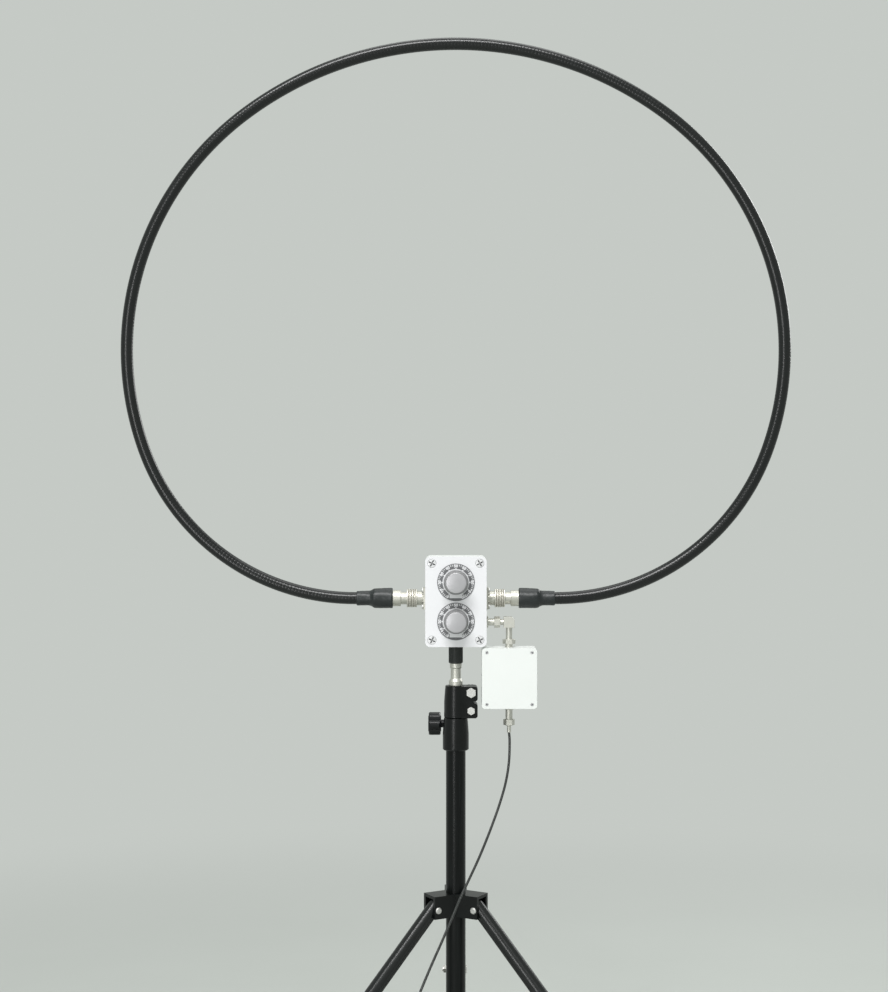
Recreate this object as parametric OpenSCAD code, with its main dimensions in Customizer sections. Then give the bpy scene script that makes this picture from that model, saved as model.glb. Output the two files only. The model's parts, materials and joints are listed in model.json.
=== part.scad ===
// Portable magnetic loop antenna on a three-section tripod stand.
// Millimetres. Z is up, Y points away from the dials, and the origin is on the floor under the column.

/* [Loop] */
// Width of the loop between the cable's centre lines
loop_width = 737; // [680:1:800]
// Height of the loop from the plug axis to the cable's centre line at the top
loop_height = 621; // [600:1:660]
// Outside diameter of the corrugated loop cable
cable_d = 13.5; // [11:0.1:14]
// Turn of the lower bend on each side, in degrees
bottom_turn = 70; // [66:1:74]
// Turn of the side bend on each side, in degrees
side_turn = 73; // [69:1:77]

/* [Loop plugs] */
// Width of the square socket flange
flange_w = 24; // [22:0.5:26]
// Diameter of the socket's threaded barrel
barrel_d = 15.9; // [14:0.1:16]
// Length of the socket's barrel
barrel_len = 15.8; // [14:0.1:18]
// Outside diameter of the knurled coupling nut
nut_d = 20.6; // [19.6:0.1:24]
// Length of the coupling nut
nut_len = 11.3; // [9:0.1:13]
// Diameter of the plug body behind the nut
plug_d = 18; // [16:0.1:20]
// Length of the plug body
plug_len = 9; // [6:0.5:12]
// Diameter of the boot over the plug's end
boot_d = 23.2; // [20:0.1:26]
// Length of the wide part of the boot
boot_len = 22; // [16:0.5:28]
// Length of the narrow part of the boot
boot_tail = 15.5; // [10:0.5:20]

/* [Tuner box] */
// Width of the tuner box
box_w = 68; // [66:1:76]
// Height of the tuner box
box_h = 100; // [98:1:112]
// Depth of the tuner box with its lid
box_d = 50; // [48:1:60]
// Wall of the tuner case
box_wall = 3; // [2.5:0.1:3.5]
// Radius of the box's corners
box_corner = 5.6; // [4:0.1:7]
// Thickness of the lid
lid_t = 4; // [3.6:0.1:5]
// Spacing of the lid screws across the box
screw_x = 53; // [52:0.5:54]
// Spacing of the lid screws up the box
screw_z = 85; // [84:0.5:86]
// Height of the plug axis above the box's centre
plug_rise = 2.7; // [1:0.1:4]

/* [Dials] */
// Distance between the two dials
dial_pitch = 43.3; // [42:0.1:45]
// Diameter of the printed dial plate
dial_d = 41.5; // [36:0.5:42]
// Diameter of the knob's skirt
knob_skirt_d = 27.2; // [25:0.1:30]
// Diameter of the knob's grip
knob_grip_d = 25.6; // [24.6:0.1:26.6]
// Height of the knob above the dial
knob_h = 16; // [14:0.5:20]
// Diameter of the pale cap in the knob's end
cap_d = 22.4; // [18:0.1:22.4]

/* [Matching box] */
// Width of the matching box
match_w = 61; // [58:0.5:61]
// Height of the matching box
match_h = 67; // [64:0.5:72]
// Depth of the matching box with its lid
match_d = 32; // [30:0.5:34]
// Wall of the matching box
match_wall = 2; // [1.6:0.1:2.6]
// Distance of the elbow's axis from the column's axis
match_x = 59.3; // [59.3:0.1:64]
// Distance of the feed axis below the tuner box's centre
feed_drop = 23.5; // [22:0.5:26]
// Distance of the feed axis in front of the column's axis
feed_front = 8; // [7.5:0.1:9]
// Diameter of the feed lead
lead_d = 2.8; // [2.4:0.1:3]

/* [Mast] */
// Diameter of the column tube
column_d = 22; // [21:0.5:23]
// Diameter of the middle tube
mid_d = 19; // [18.5:0.1:19]
// Diameter of the top tube
top_d = 16; // [15.5:0.1:16]
// Wall of the stand's tubes
tube_wall = 1.2; // [1:0.05:1.25]
// Height of a clamp collar
collar_h = 36; // [35:0.5:40]
// Height of the lower collar above the hub's pivots
collar_rise = 174.5; // [160:0.5:200]
// Height of the stud between the top tube and the sleeve
stud_h = 25; // [22:0.5:30]
// Height of the black sleeve under the tuner box
sleeve_h = 20; // [16:0.5:26]
// Diameter of the sleeve
sleeve_d = 16; // [14:0.5:18]
// Diameter of the lower collar's lock knob
lock_knob_d = 26.8; // [24:0.2:28]
// Length of the lower collar's lock knob
lock_knob_len = 14.6; // [13:0.2:18]
// Diameter of the small knob behind the upper collar
thumb_d = 13; // [12:0.5:14]

/* [Tripod] */
// Length of a leg from its pivot to the floor
leg_len = 550; // [500:5:600]
// Spread of a leg from the vertical, in degrees
leg_spread = 42.5; // [40:0.5:45]
// Diameter of a leg tube
leg_d = 16; // [15:0.5:16.5]
// Distance of the leg pivots from the column's axis
pivot_r = 29.3; // [29:0.1:31]
// Distance of the brace bolt along the leg, which is also the brace's length
brace_len = 145; // [130:1:160]
// Thickness of the brace's sheet metal
brace_t = 1.6; // [1.2:0.1:2]
// Height of the column's lower end above the floor
column_foot = 25; // [20:1:40]

/* [Fits] */
// Radial clearance of pressed and clamped pieces
fit = 0.05; // [0.02:0.01:0.1]
// Radial clearance of turning pieces on their pins
run = 0.05; // [0.02:0.01:0.1]
// Radial clearance of sliding and loosely turning pieces
slip = 0.3; // [0.25:0.05:0.4]

/* [Hidden] */
$fn = 64;

// Colours as photographed
black_metal = [0.07, 0.08, 0.08];
black_rubber = [0.05, 0.05, 0.05];
bright_metal = [0.78, 0.77, 0.73];
pale_plate = [0.82, 0.83, 0.86];
white_case = [0.93, 0.95, 0.93];
grey_cap = [0.55, 0.54, 0.56];
copper = [0.72, 0.45, 0.30];

// Heights up the stand
pivot_z = leg_len * cos(leg_spread);
lower_collar_z = pivot_z + collar_rise;
upper_collar_z = lower_collar_z + collar_h;
stud_z = upper_collar_z + collar_h;
sleeve_z = stud_z + stud_h;
box_z = sleeve_z + sleeve_h + box_h / 2;
plug_z = box_z + plug_rise;
feed_z = box_z - feed_drop;
slider_z = pivot_z - 2 * brace_len * cos(leg_spread);

// Plan angles of the three legs, the third straight behind the column
left_angle = 210;
right_angle = 330;
rear_angle = 90;
leg_angles = [left_angle, right_angle, rear_angle];

// Stations along the plug axis, measured from the box's centre
flange_x = box_w / 2;
flange_t = 2.2;
barrel_end = flange_x + flange_t + barrel_len;
keeper_len = 1.6;
nut_start = barrel_end + keeper_len + 1.2 - nut_len;
nut_end = nut_start + nut_len;
nut_lip = 0.9;
neck_gap = 6.7;
plug_start = nut_end + neck_gap;
plug_end = plug_start + plug_len;
boot_taper = 3;
boot_end = plug_end + boot_len + boot_taper + boot_tail;

// Turns a shape made along Z so that it points along X or Y
module along_x() { rotate([0, 90, 0]) children(); }
module along_y() { rotate([-90, 0, 0]) children(); }

// A tube or ring of outer radius r and bore b
module ring(r, b, h) {
    difference() {
        cylinder(r = r, h = h);
        translate([0, 0, -1]) cylinder(r = b, h = h + 2);
    }
}

// A hexagon nut or head, measured across its flats
module hexagon(flats, h) { cylinder(d = flats / cos(30), h = h, $fn = 6); }

// Outline of a plate with rounded corners
module rounded(w, h, r) {
    square([w - 2 * r, h], center = true);
    square([w, h - 2 * r], center = true);
    for (x = [-1, 1], y = [-1, 1])
        translate([x * (w / 2 - r), y * (h / 2 - r)]) circle(r = r);
}

// A plate standing in the XZ plane, from y to y + t
module upright(w, h, r, y, t) {
    translate([0, y + t, 0]) rotate([90, 0, 0]) linear_extrude(t) rounded(w, h, r);
}

module corners(dx, dz) {
    for (x = [-1, 1], z = [-1, 1]) translate([x * dx / 2, 0, z * dz / 2]) children();
}

module both_sides() {
    children();
    mirror([1, 0, 0]) children();
}

module at_box() { translate([0, 0, box_z]) children(); }
module at_plugs() { translate([0, 0, plug_z]) children(); }
module at_leg(a) { rotate([0, 0, a]) children(); }

/* The loop. Each side is three tangent arcs from the boot to the top. Their radii follow from the loop's
   width and height: the side arc passes upright at half the width, and the top arc ends level on the axis.
   A rib of the corrugated jacket joins each arc to the next. */
half_w = loop_width / 2;
arc_x = boot_end + 2;
s1 = sin(bottom_turn);
c1 = cos(bottom_turn);
s2 = sin(bottom_turn + side_turn);
c2 = cos(bottom_turn + side_turn);
side_r = (loop_height - (half_w - arc_x) * (1 - c1) / s1 - half_w * (1 + c2) / s2)
    / (c1 - c2 - (1 - s1) * (1 - c1) / s1 - (1 - s2) * (1 + c2) / s2);
bottom_r = (half_w - arc_x - side_r * (1 - s1)) / s1;
top_r = (half_w - side_r * (1 - s2)) / s2;
bottom_c = [arc_x, bottom_r];
side_c = bottom_c + (bottom_r - side_r) * [s1, -c1];
top_c = side_c + (side_r - top_r) * [s2, -c2];
rib_len = 2.4;
rib_rise = 0.25;
rib_hidden = 0.2;

module cable_arc(centre, r, start, turn) {
    short = rib_hidden / r * 180 / PI;
    translate([centre.x, 0, centre.y]) rotate([90, 0, 0]) rotate([0, 0, start - 90 + short])
        rotate_extrude(angle = turn - 2 * short, $fn = 96) translate([r, 0]) circle(d = cable_d);
}

module cable_rib(point, heading) {
    translate([point.x, 0, point.y]) rotate([0, 90 - heading, 0]) translate([0, 0, -rib_len / 2])
        cylinder(d = cable_d + 2 * rib_rise, h = rib_len);
}

module loop_cable() {
    color(black_rubber) at_plugs() {
        both_sides() {
            translate([plug_end, 0, 0]) along_x() cylinder(d = cable_d, h = arc_x - rib_hidden - plug_end);
            cable_rib([arc_x, 0], 0);
            cable_arc(bottom_c, bottom_r, 0, bottom_turn);
            cable_rib(bottom_c + bottom_r * [s1, -c1], bottom_turn);
            cable_arc(side_c, side_r, bottom_turn, side_turn);
            cable_rib(side_c + side_r * [s2, -c2], bottom_turn + side_turn);
            cable_arc(top_c, top_r, bottom_turn + side_turn, 180 - bottom_turn - side_turn);
        }
        cable_rib([0, loop_height], 180);
    }
}

boot_tail_d = cable_d + 3.3;
boot_round = 1;
module cable_boots() {
    wide = boot_d / 2;
    slim = boot_tail_d / 2;
    hole = cable_d / 2 + fit;
    color(black_rubber) at_plugs() both_sides() translate([plug_end, 0, 0]) along_x() rotate_extrude()
        polygon([
            [hole, 0], [wide - boot_round, 0], [wide, boot_round],
            [wide, boot_len - boot_round], [wide - boot_round, boot_len],
            [slim, boot_len + boot_taper],
            [slim, boot_end - plug_end - boot_round], [slim - boot_round, boot_end - plug_end],
            [hole, boot_end - plug_end]
        ]);
}

pin_d = 4;
pin_depth = 12;
keeper_d = barrel_d;
neck_d = barrel_d - 2;
module loop_plugs() {
    color(bright_metal) at_plugs() both_sides() along_x() {
        translate([0, 0, barrel_end - pin_depth]) cylinder(d = pin_d, h = pin_depth + 1);
        translate([0, 0, barrel_end]) cylinder(d = keeper_d, h = keeper_len);
        translate([0, 0, barrel_end]) cylinder(d = neck_d, h = plug_start - barrel_end);
        translate([0, 0, plug_start]) cylinder(d = plug_d, h = plug_len);
    }
}

module coupling_nut() {
    color(bright_metal) at_plugs() translate([nut_start, 0, 0]) along_x() difference() {
        cylinder(d = nut_d, h = nut_len);
        translate([0, 0, -1]) cylinder(d = barrel_d + 2 * slip, h = nut_len - nut_lip + 1);
        cylinder(d = neck_d + 2 * slip, h = nut_len + 1);
    }
}
module right_coupling_nut() { coupling_nut(); }
module left_coupling_nut() { mirror([1, 0, 0]) coupling_nut(); }

socket_pitch = 18;
socket_body_d = 16;
solder_pin_end = 19;
insulator_end = 28;
insulator_d = 12;
small_screw_d = 2.8;
small_head_d = 5.4;
small_head_h = 1.8;
module loop_sockets() {
    color(bright_metal) at_plugs() both_sides() difference() {
        union() {
            along_x() {
                translate([0, 0, solder_pin_end]) cylinder(d = pin_d, h = barrel_end - solder_pin_end);
                translate([0, 0, insulator_end]) cylinder(d = insulator_d, h = flange_x - insulator_end);
                translate([0, 0, flange_x - box_wall]) cylinder(d = socket_body_d, h = box_wall);
                translate([0, 0, flange_x]) cylinder(d = barrel_d, h = flange_t + barrel_len);
            }
            translate([flange_x, -flange_w / 2, -flange_w / 2]) cube([flange_t, flange_w, flange_w]);
        }
        translate([barrel_end - pin_depth - 1, 0, 0]) along_x()
            cylinder(d = pin_d + 2 * fit, h = pin_depth + 2);
        socket_corners() translate([flange_x - 1, 0, 0]) along_x()
            cylinder(d = small_screw_d + 2 * fit, h = flange_t + 2);
    }
}

module socket_corners() {
    for (y = [-1, 1], z = [-1, 1]) translate([0, y * socket_pitch / 2, z * socket_pitch / 2]) children();
}

module socket_screws() {
    color(bright_metal) at_plugs() both_sides() socket_corners() along_x() {
        translate([0, 0, flange_x - box_wall]) cylinder(d = small_screw_d, h = box_wall + flange_t);
        translate([0, 0, flange_x + flange_t]) cylinder(d = small_head_d, h = small_head_h);
    }
}

/* The tuner box: a cast case, open in front, with a lid on four corner posts. */
front_y = -box_d / 2;
rim_y = front_y + lid_t;
post_d = 10;
lid_screw_d = 3.6;
lid_head_d = 10.2;
lid_head_h = 2.9;
lid_screw_len = 16;
sleeve_screw_d = 6;
feed_thread_d = 8.4;
module tuner_case() {
    color(white_case) at_box() difference() {
        union() {
            difference() {
                upright(box_w, box_h, box_corner, rim_y, box_d - lid_t);
                upright(box_w - 2 * box_wall, box_h - 2 * box_wall, box_corner - box_wall, rim_y - 1,
                    box_d - lid_t - box_wall + 1);
            }
            intersection() {
                corners(screw_x, screw_z) translate([0, rim_y, 0]) along_y()
                    cylinder(d = post_d, h = box_d - lid_t - 1);
                upright(box_w - 1, box_h - 1, box_corner - 0.5, rim_y, box_d - lid_t - 1);
            }
        }
        corners(screw_x, screw_z) translate([0, rim_y - 1, 0]) along_y()
            cylinder(d = lid_screw_d + 2 * fit, h = lid_screw_len);
        translate([0, 0, plug_rise]) {
            for (s = [-1, 1]) translate([s * flange_x, 0, 0]) along_x()
                translate([0, 0, -box_wall - 1]) cylinder(d = socket_body_d + 2 * fit, h = 2 * box_wall + 2);
            both_sides() socket_corners() translate([flange_x - box_wall - 1, 0, 0]) along_x()
                cylinder(d = small_screw_d + 2 * fit, h = box_wall + 2);
        }
        translate([flange_x - box_wall - 1, -feed_front, -feed_drop]) along_x()
            cylinder(d = feed_thread_d + 2 * fit, h = box_wall + 2);
        translate([0, 0, -box_h / 2 - 1]) cylinder(d = sleeve_screw_d + 2 * fit, h = box_wall + 2);
    }
}

bush_d = 9.5;
module tuner_lid() {
    color(pale_plate) at_box() difference() {
        upright(box_w, box_h, box_corner, front_y, lid_t);
        corners(screw_x, screw_z) translate([0, front_y, 0]) along_y() {
            cylinder(d1 = lid_head_d + 2 * fit, d2 = lid_screw_d + 2 * fit, h = lid_head_h);
            cylinder(d = lid_screw_d + 2 * fit, h = lid_t + 1);
        }
        at_dials() translate([0, front_y - 1, 0]) along_y() cylinder(d = bush_d + 2 * fit, h = lid_t + 2);
    }
}

module lid_screws() {
    color(bright_metal) at_box() corners(screw_x, screw_z) translate([0, front_y, 0]) along_y() {
        cylinder(d1 = lid_head_d, d2 = lid_screw_d, h = lid_head_h);
        cylinder(d = lid_screw_d, h = lid_screw_len + lid_t - 2);
    }
}

module at_dials() {
    for (s = [-1, 1]) translate([0, 0, s * dial_pitch / 2]) children();
}
module at_upper_dial() { translate([0, 0, box_z + dial_pitch / 2]) children(); }
module at_lower_dial() { translate([0, 0, box_z - dial_pitch / 2]) children(); }

dial_t = 0.8;
dial_y = front_y - dial_t;
module dial_plates() {
    color(pale_plate) at_box() at_dials() translate([0, dial_y, 0]) along_y()
        ring(dial_d / 2, bush_d / 2 + fit, dial_t);
}

panel_nut_flats = 12;
panel_nut_h = 2.4;
module panel_nuts() {
    color(bright_metal) at_box() at_dials() translate([0, dial_y - panel_nut_h, 0]) along_y() difference() {
        hexagon(panel_nut_flats, panel_nut_h);
        translate([0, 0, -1]) cylinder(d = bush_d + 2 * fit, h = panel_nut_h + 2);
    }
}

// The knob is turned round its shaft, hollow behind to clear the panel nut, with a recess for its cap.
shaft_d = 6;
knob_gap = 0.4;
skirt_h = 3.4;
cap_seat = 1.4;
cap_h = 3;
knob_hollow_d = panel_nut_flats / cos(30) + 2;
knob_hollow_h = panel_nut_h + 0.9;
shaft_grip = knob_h - cap_seat - knob_hollow_h - 1.6;
module dial_knob() {
    color(black_rubber) translate([0, dial_y - knob_gap, 0]) rotate([90, 0, 0]) rotate_extrude()
        polygon([
            [knob_hollow_d / 2, 0], [knob_skirt_d / 2 - 0.5, 0], [knob_skirt_d / 2, 0.5],
            [knob_skirt_d / 2, skirt_h - 0.8], [knob_grip_d / 2 + 0.2, skirt_h],
            [knob_grip_d / 2, skirt_h + 1], [knob_grip_d / 2 - 0.4, knob_h - 0.6],
            [knob_grip_d / 2 - 1, knob_h], [cap_d / 2 + fit, knob_h], [cap_d / 2 + fit, knob_h - cap_seat],
            [0, knob_h - cap_seat], [0, knob_hollow_h + shaft_grip],
            [shaft_d / 2 + fit, knob_hollow_h + shaft_grip], [shaft_d / 2 + fit, knob_hollow_h],
            [knob_hollow_d / 2, knob_hollow_h]
        ]);
}
module upper_knob() { at_upper_dial() dial_knob(); }
module lower_knob() { at_lower_dial() dial_knob(); }

cap_dome_r = 60;
module knob_cap() {
    cap_y = dial_y - knob_gap - knob_h + cap_seat;
    color(grey_cap) translate([0, cap_y, 0]) rotate([90, 0, 0]) intersection() {
        cylinder(d = cap_d, h = cap_h);
        translate([0, 0, cap_h - cap_dome_r]) sphere(r = cap_dome_r, $fn = 128);
    }
}
module upper_knob_cap() { at_upper_dial() knob_cap(); }
module lower_knob_cap() { at_lower_dial() knob_cap(); }

/* The variable capacitors behind the lid: end plates and posts, half-disc stator plates on two rods,
   and half-disc rotor plates on the knob's shaft, which turn in the gaps of the stator. */
frame_w = 34;
frame_plate_t = 2;
frame_depth = 37;
frame_post_d = 4;
frame_post_pitch = 28;
plate_t = 0.8;
stator_count = 5;
stator_pitch = 6.5;
stator_r = 13.5;
stator_bore = 4.6;
stator_rod_d = 3;
stator_rod_at = 10;
rotor_r = 12;
first_plate = 4;
bush_len = lid_t + dial_t + panel_nut_h + 0.4;
module capacitor_frames() {
    color(bright_metal) at_box() at_dials() translate([0, rim_y, 0]) {
        difference() {
            union() {
                for (y = [0, frame_depth - frame_plate_t])
                    upright(frame_w, frame_w, 2, y, frame_plate_t);
                corners(frame_post_pitch, frame_post_pitch) along_y()
                    cylinder(d = frame_post_d, h = frame_depth);
                translate([0, -bush_len, 0]) along_y() cylinder(d = bush_d, h = bush_len + frame_plate_t);
            }
            translate([0, -bush_len - 1, 0]) along_y()
                cylinder(d = shaft_d + 2 * run, h = bush_len + frame_depth + 2);
        }
    }
}

module half_disc(r, b) {
    difference() {
        intersection() {
            circle(r = r);
            translate([-r - 1, -r - 1]) square([2 * r + 2, r + 1]);
        }
        circle(r = b);
    }
}

module capacitor_stators() {
    rod_len = frame_depth - 2 * frame_plate_t;
    color(pale_plate) at_box() at_dials() translate([0, rim_y + frame_plate_t, 0]) {
        for (i = [0 : stator_count - 1])
            translate([0, first_plate + i * stator_pitch + plate_t, 0]) rotate([90, 0, 0])
                linear_extrude(plate_t) half_disc(stator_r, stator_bore);
        for (s = [-1, 1]) translate([s * stator_rod_at, 0, -stator_rod_at]) along_y()
            cylinder(d = stator_rod_d, h = rod_len);
    }
}

shaft_front = dial_y - knob_gap - knob_hollow_h - shaft_grip + 0.3;
module capacitor_rotor() {
    color(bright_metal) {
        translate([0, shaft_front, 0]) along_y()
            cylinder(d = shaft_d, h = rim_y + frame_depth + 1 - shaft_front);
        for (i = [0 : stator_count - 2])
            translate([0, rim_y + frame_plate_t + first_plate + (i + 0.5) * stator_pitch + plate_t, 0])
                rotate([90, 90, 0]) linear_extrude(plate_t) half_disc(rotor_r, 0.5);
    }
}
module upper_rotor() { at_upper_dial() capacitor_rotor(); }
module lower_rotor() { at_lower_dial() capacitor_rotor(); }

toroid_d = 22;
toroid_len = 7.5;
module coupling_toroid() {
    color(black_metal) at_plugs() translate([solder_pin_end + 1, 0, 0]) along_x()
        ring(toroid_d / 2, pin_d / 2 + fit, toroid_len);
}

/* The feed: a threaded socket on the box, a right-angle elbow, and the matching box below it. */
feed_flats = 11;
feed_hex_h = 2;
feed_barrel_d = 7.8;
feed_barrel_len = 11.5;
feed_neck_d = 6.4;
feed_keeper_len = 1.4;
feed_nut_len = 6.4;
feed_nut_lip = 2;
feed_nut_overlap = 2.7;
feed_thread_len = 9;
elbow_w = 12;
elbow_stem_d = 7;
elbow_bevel = 3;
match_gap = 1.5;
match_top = -box_h / 2 - match_gap;
match_low = match_top - match_h;
match_hex_flats = 12.5;
match_hex_h = 5;
match_hex_rise = 3.8;
stem_seat = 4.4;

module at_feed() { translate([0, -feed_front, feed_z]) children(); }
module at_match() { translate([match_x, -feed_front, box_z]) children(); }

// A threaded coaxial socket standing on a wall at z = 0, its barrel along Z
module threaded_socket(wall, barrel) {
    translate([0, 0, -wall - feed_hex_h]) hexagon(feed_flats, feed_hex_h);
    translate([0, 0, -feed_thread_len]) cylinder(d = feed_thread_d, h = feed_thread_len);
    hexagon(feed_flats, feed_hex_h);
    cylinder(d = feed_barrel_d, h = feed_hex_h + barrel);
}

// The hexagon coupling nut that holds a plug's neck to a threaded barrel, its lip at the far end
module threaded_nut() {
    difference() {
        hexagon(feed_flats, feed_nut_len);
        translate([0, 0, -1]) cylinder(d = feed_barrel_d + 2 * slip, h = feed_nut_len - feed_nut_lip + 1);
        cylinder(d = feed_neck_d + 2 * slip, h = feed_nut_len + 1);
    }
}

module feed_socket() {
    color(bright_metal) at_feed() translate([flange_x, 0, 0]) along_x()
        threaded_socket(box_wall, feed_barrel_len - feed_hex_h);
}

elbow_start = flange_x + feed_barrel_len;
module elbow() {
    color(bright_metal) {
        at_feed() along_x() translate([0, 0, elbow_start]) {
            cylinder(d = feed_barrel_d, h = feed_keeper_len);
            cylinder(d = feed_neck_d, h = match_x - elbow_start);
        }
        at_match() {
            translate([0, elbow_w / 2, -feed_drop]) rotate([90, 0, 0]) linear_extrude(elbow_w) polygon([
                [-elbow_w / 2, -elbow_w / 2], [elbow_w / 2, -elbow_w / 2],
                [elbow_w / 2, elbow_w / 2 - elbow_bevel], [elbow_w / 2 - elbow_bevel, elbow_w / 2],
                [-elbow_w / 2, elbow_w / 2]
            ]);
            stem_low = match_top + match_hex_rise + match_hex_h - stem_seat;
            translate([0, 0, stem_low]) cylinder(d = elbow_stem_d, h = -feed_drop - stem_low);
        }
    }
}

module elbow_nut() {
    color(bright_metal) at_feed() translate([elbow_start - feed_nut_overlap, 0, 0]) along_x() threaded_nut();
}

match_corner = 3.5;
match_lid_t = 4;
match_back = 16;
match_front = match_back - match_d;
match_screw_x = 50;
match_screw_z = 57.5;
match_post_d = 6;
match_screw_d = 2.2;
match_head_d = 3.6;
match_head_h = 1.6;
match_screw_len = 12;
board_w = 42;
board_h = 46;
board_t = 1.6;
board_stand = 3;
module at_match_centre() { translate([0, 0, match_top - match_h / 2]) children(); }
module match_case() {
    rim = match_front + match_lid_t;
    deep = match_d - match_lid_t;
    color(white_case) at_match() difference() {
        at_match_centre() difference() {
            union() {
                difference() {
                    upright(match_w, match_h, match_corner, rim, deep);
                    upright(match_w - 2 * match_wall, match_h - 2 * match_wall, match_corner - match_wall,
                        rim - 1, deep - match_wall + 1);
                }
                intersection() {
                    corners(match_screw_x, match_screw_z) translate([0, rim, 0]) along_y()
                        cylinder(d = match_post_d, h = deep - 1);
                    upright(match_w - 1, match_h - 1, match_corner - 0.5, rim, deep - 1);
                }
                corners(board_w - 8, board_h - 8)
                    translate([0, match_back - match_wall - board_stand, 0]) along_y()
                    cylinder(d = 6, h = board_stand + match_wall / 2);
            }
            corners(match_screw_x, match_screw_z) translate([0, rim - 1, 0]) along_y()
                cylinder(d = match_screw_d + 2 * fit, h = match_screw_len);
        }
        for (z = [match_top, match_low]) translate([0, 0, z - match_wall - 1])
            cylinder(d = feed_thread_d + 2 * fit, h = 2 * match_wall + 2);
    }
}

module match_lid() {
    color(white_case) at_match() at_match_centre() difference() {
        upright(match_w, match_h, match_corner, match_front, match_lid_t);
        corners(match_screw_x, match_screw_z) translate([0, match_front, 0]) along_y() {
            translate([0, 0, -1]) cylinder(d = match_head_d + 2 * fit, h = match_head_h + 1);
            cylinder(d = match_screw_d + 2 * fit, h = match_lid_t + 1);
        }
    }
}

module match_screws() {
    color(black_metal) at_match() at_match_centre() corners(match_screw_x, match_screw_z)
        translate([0, match_front, 0]) along_y() {
            cylinder(d = match_head_d, h = match_head_h);
            cylinder(d = match_screw_d, h = match_screw_len);
        }
}

lead_barrel = 14;
module match_sockets() {
    color(bright_metal) at_match() {
        translate([0, 0, match_top]) difference() {
            union() {
                translate([0, 0, -match_wall - feed_hex_h]) hexagon(feed_flats, feed_hex_h);
                translate([0, 0, -feed_thread_len]) cylinder(d = feed_thread_d,
                    h = feed_thread_len + match_hex_rise);
                translate([0, 0, match_hex_rise]) hexagon(match_hex_flats, match_hex_h);
            }
            translate([0, 0, match_hex_rise + match_hex_h - stem_seat])
                cylinder(d = elbow_stem_d + 2 * fit, h = stem_seat + 1);
        }
        translate([0, 0, match_low]) rotate([180, 0, 0]) threaded_socket(match_wall, lead_barrel);
    }
}

board_y = match_back - match_wall - board_stand - board_t;
module match_board() {
    color([0.10, 0.35, 0.20]) at_match() at_match_centre() upright(board_w, board_h, 1, board_y, board_t);
}

match_toroid_d = 24;
match_toroid_bore = 13;
match_toroid_h = 8;
module match_toroid() {
    color(copper) at_match() at_match_centre() translate([0, board_y - match_toroid_h, 0]) along_y()
        ring(match_toroid_d / 2, match_toroid_bore / 2, match_toroid_h);
}

/* The feed lead: its plug under the matching box, the free run to the floor, and the rest in a coil. */
lead_socket_end = match_low - feed_hex_h - lead_barrel;
plug_neck_len = 4.6;
ferrule_d = 4.4;
ferrule_len = 7.5;
lead_top = box_z + lead_socket_end - plug_neck_len - ferrule_len;
module lead_plug() {
    color(bright_metal) at_match() translate([0, 0, lead_socket_end]) rotate([180, 0, 0]) {
        cylinder(d = feed_barrel_d, h = feed_keeper_len);
        cylinder(d = feed_neck_d, h = plug_neck_len);
        translate([0, 0, plug_neck_len]) cylinder(d = ferrule_d, h = ferrule_len);
    }
}

module lead_plug_nut() {
    color(bright_metal) at_match() translate([0, 0, lead_socket_end + feed_nut_overlap]) rotate([180, 0, 0])
        threaded_nut();
}

tie_t = 0.9;
tie_gap = 0.4;
coil_x = -20;
coil_y = -167.5;
coil_r = 27;
coil_pitch = 3.8;
coil_turns = 5.5;
coil_low = tie_t + tie_gap + lead_d / 2;
coil_top = coil_low + coil_pitch;
coil_inner = coil_r - coil_turns * coil_pitch;
coil_start = [coil_x - lead_d, coil_y + coil_r, coil_low];

// The free run stops this far short of the ferrule and of the coil, as its ends are a little aslant
lead_seat = 0.3;
lead_route = [
    [match_x, -feed_front, lead_top - lead_seat], [60, -8.5, 590], [59, -12, 567], [55, -18, 545],
    [48, -26, 523], [41, -33, 505], [33, -40, 486], [24, -46, 466], [14, -52, 446], [4, -58, 426], [-4, -63, 408],
    [-16, -70, 382], [-27, -77, 359], [-39, -84, 332], [-52, -91, 300], [-64, -97, 266], [-75, -103, 228],
    [-84, -109, 188], [-90, -115, 146], [-93, -121, 104], [-92, -127, 64], [-86, -132, 32], [-74, -136, 13],
    [-58, -139, 5], [-40, -140, 3], coil_start - [lead_seat, 0, 0]
];

// A smooth curve through the points, steps to a span
function knot(p, i) = p[max(0, min(len(p) - 1, i))];
function between(a, b, c, d, t) =
    0.5 * (2 * b + (c - a) * t + (2 * a - 5 * b + 4 * c - d) * t * t + (3 * b - a - 3 * c + d) * t * t * t);
function smooth(p, steps) = concat(
    [for (i = [0 : len(p) - 2], k = [0 : steps - 1])
        between(knot(p, i - 1), p[i], p[i + 1], knot(p, i + 2), k / steps)],
    [p[len(p) - 1]]);

// A closed tube of triangles with its rings square to the path, its sides set out from the up direction
function unit(v) = v / norm(v);
module tube(path, d, sides, up) {
    n = len(path);
    last = n - 1;
    points = [
        for (i = [0 : last])
            let (
                t = unit(path[min(i + 1, last)] - path[max(i - 1, 0)]),
                u = unit(cross(t, up)),
                v = cross(t, u)
            )
            for (k = [0 : sides - 1])
                path[i] + d / 2 * (u * cos(360 * k / sides) + v * sin(360 * k / sides))
    ];
    faces = concat(
        [for (k = [1 : sides - 2]) [0, k, k + 1]],
        [for (k = [1 : sides - 2]) [last * sides, last * sides + k + 1, last * sides + k]],
        [for (i = [0 : last - 1], k = [0 : sides - 1])
            let (a = i * sides + k, b = i * sides + (k + 1) % sides)
            each [[a, a + sides, b], [b, a + sides, b + sides]]]
    );
    polyhedron(points, faces);
}

module feed_lead() {
    color(black_rubber) tube(smooth(lead_route, 3), lead_d, 8, [0, 1, 0]);
}

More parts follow.
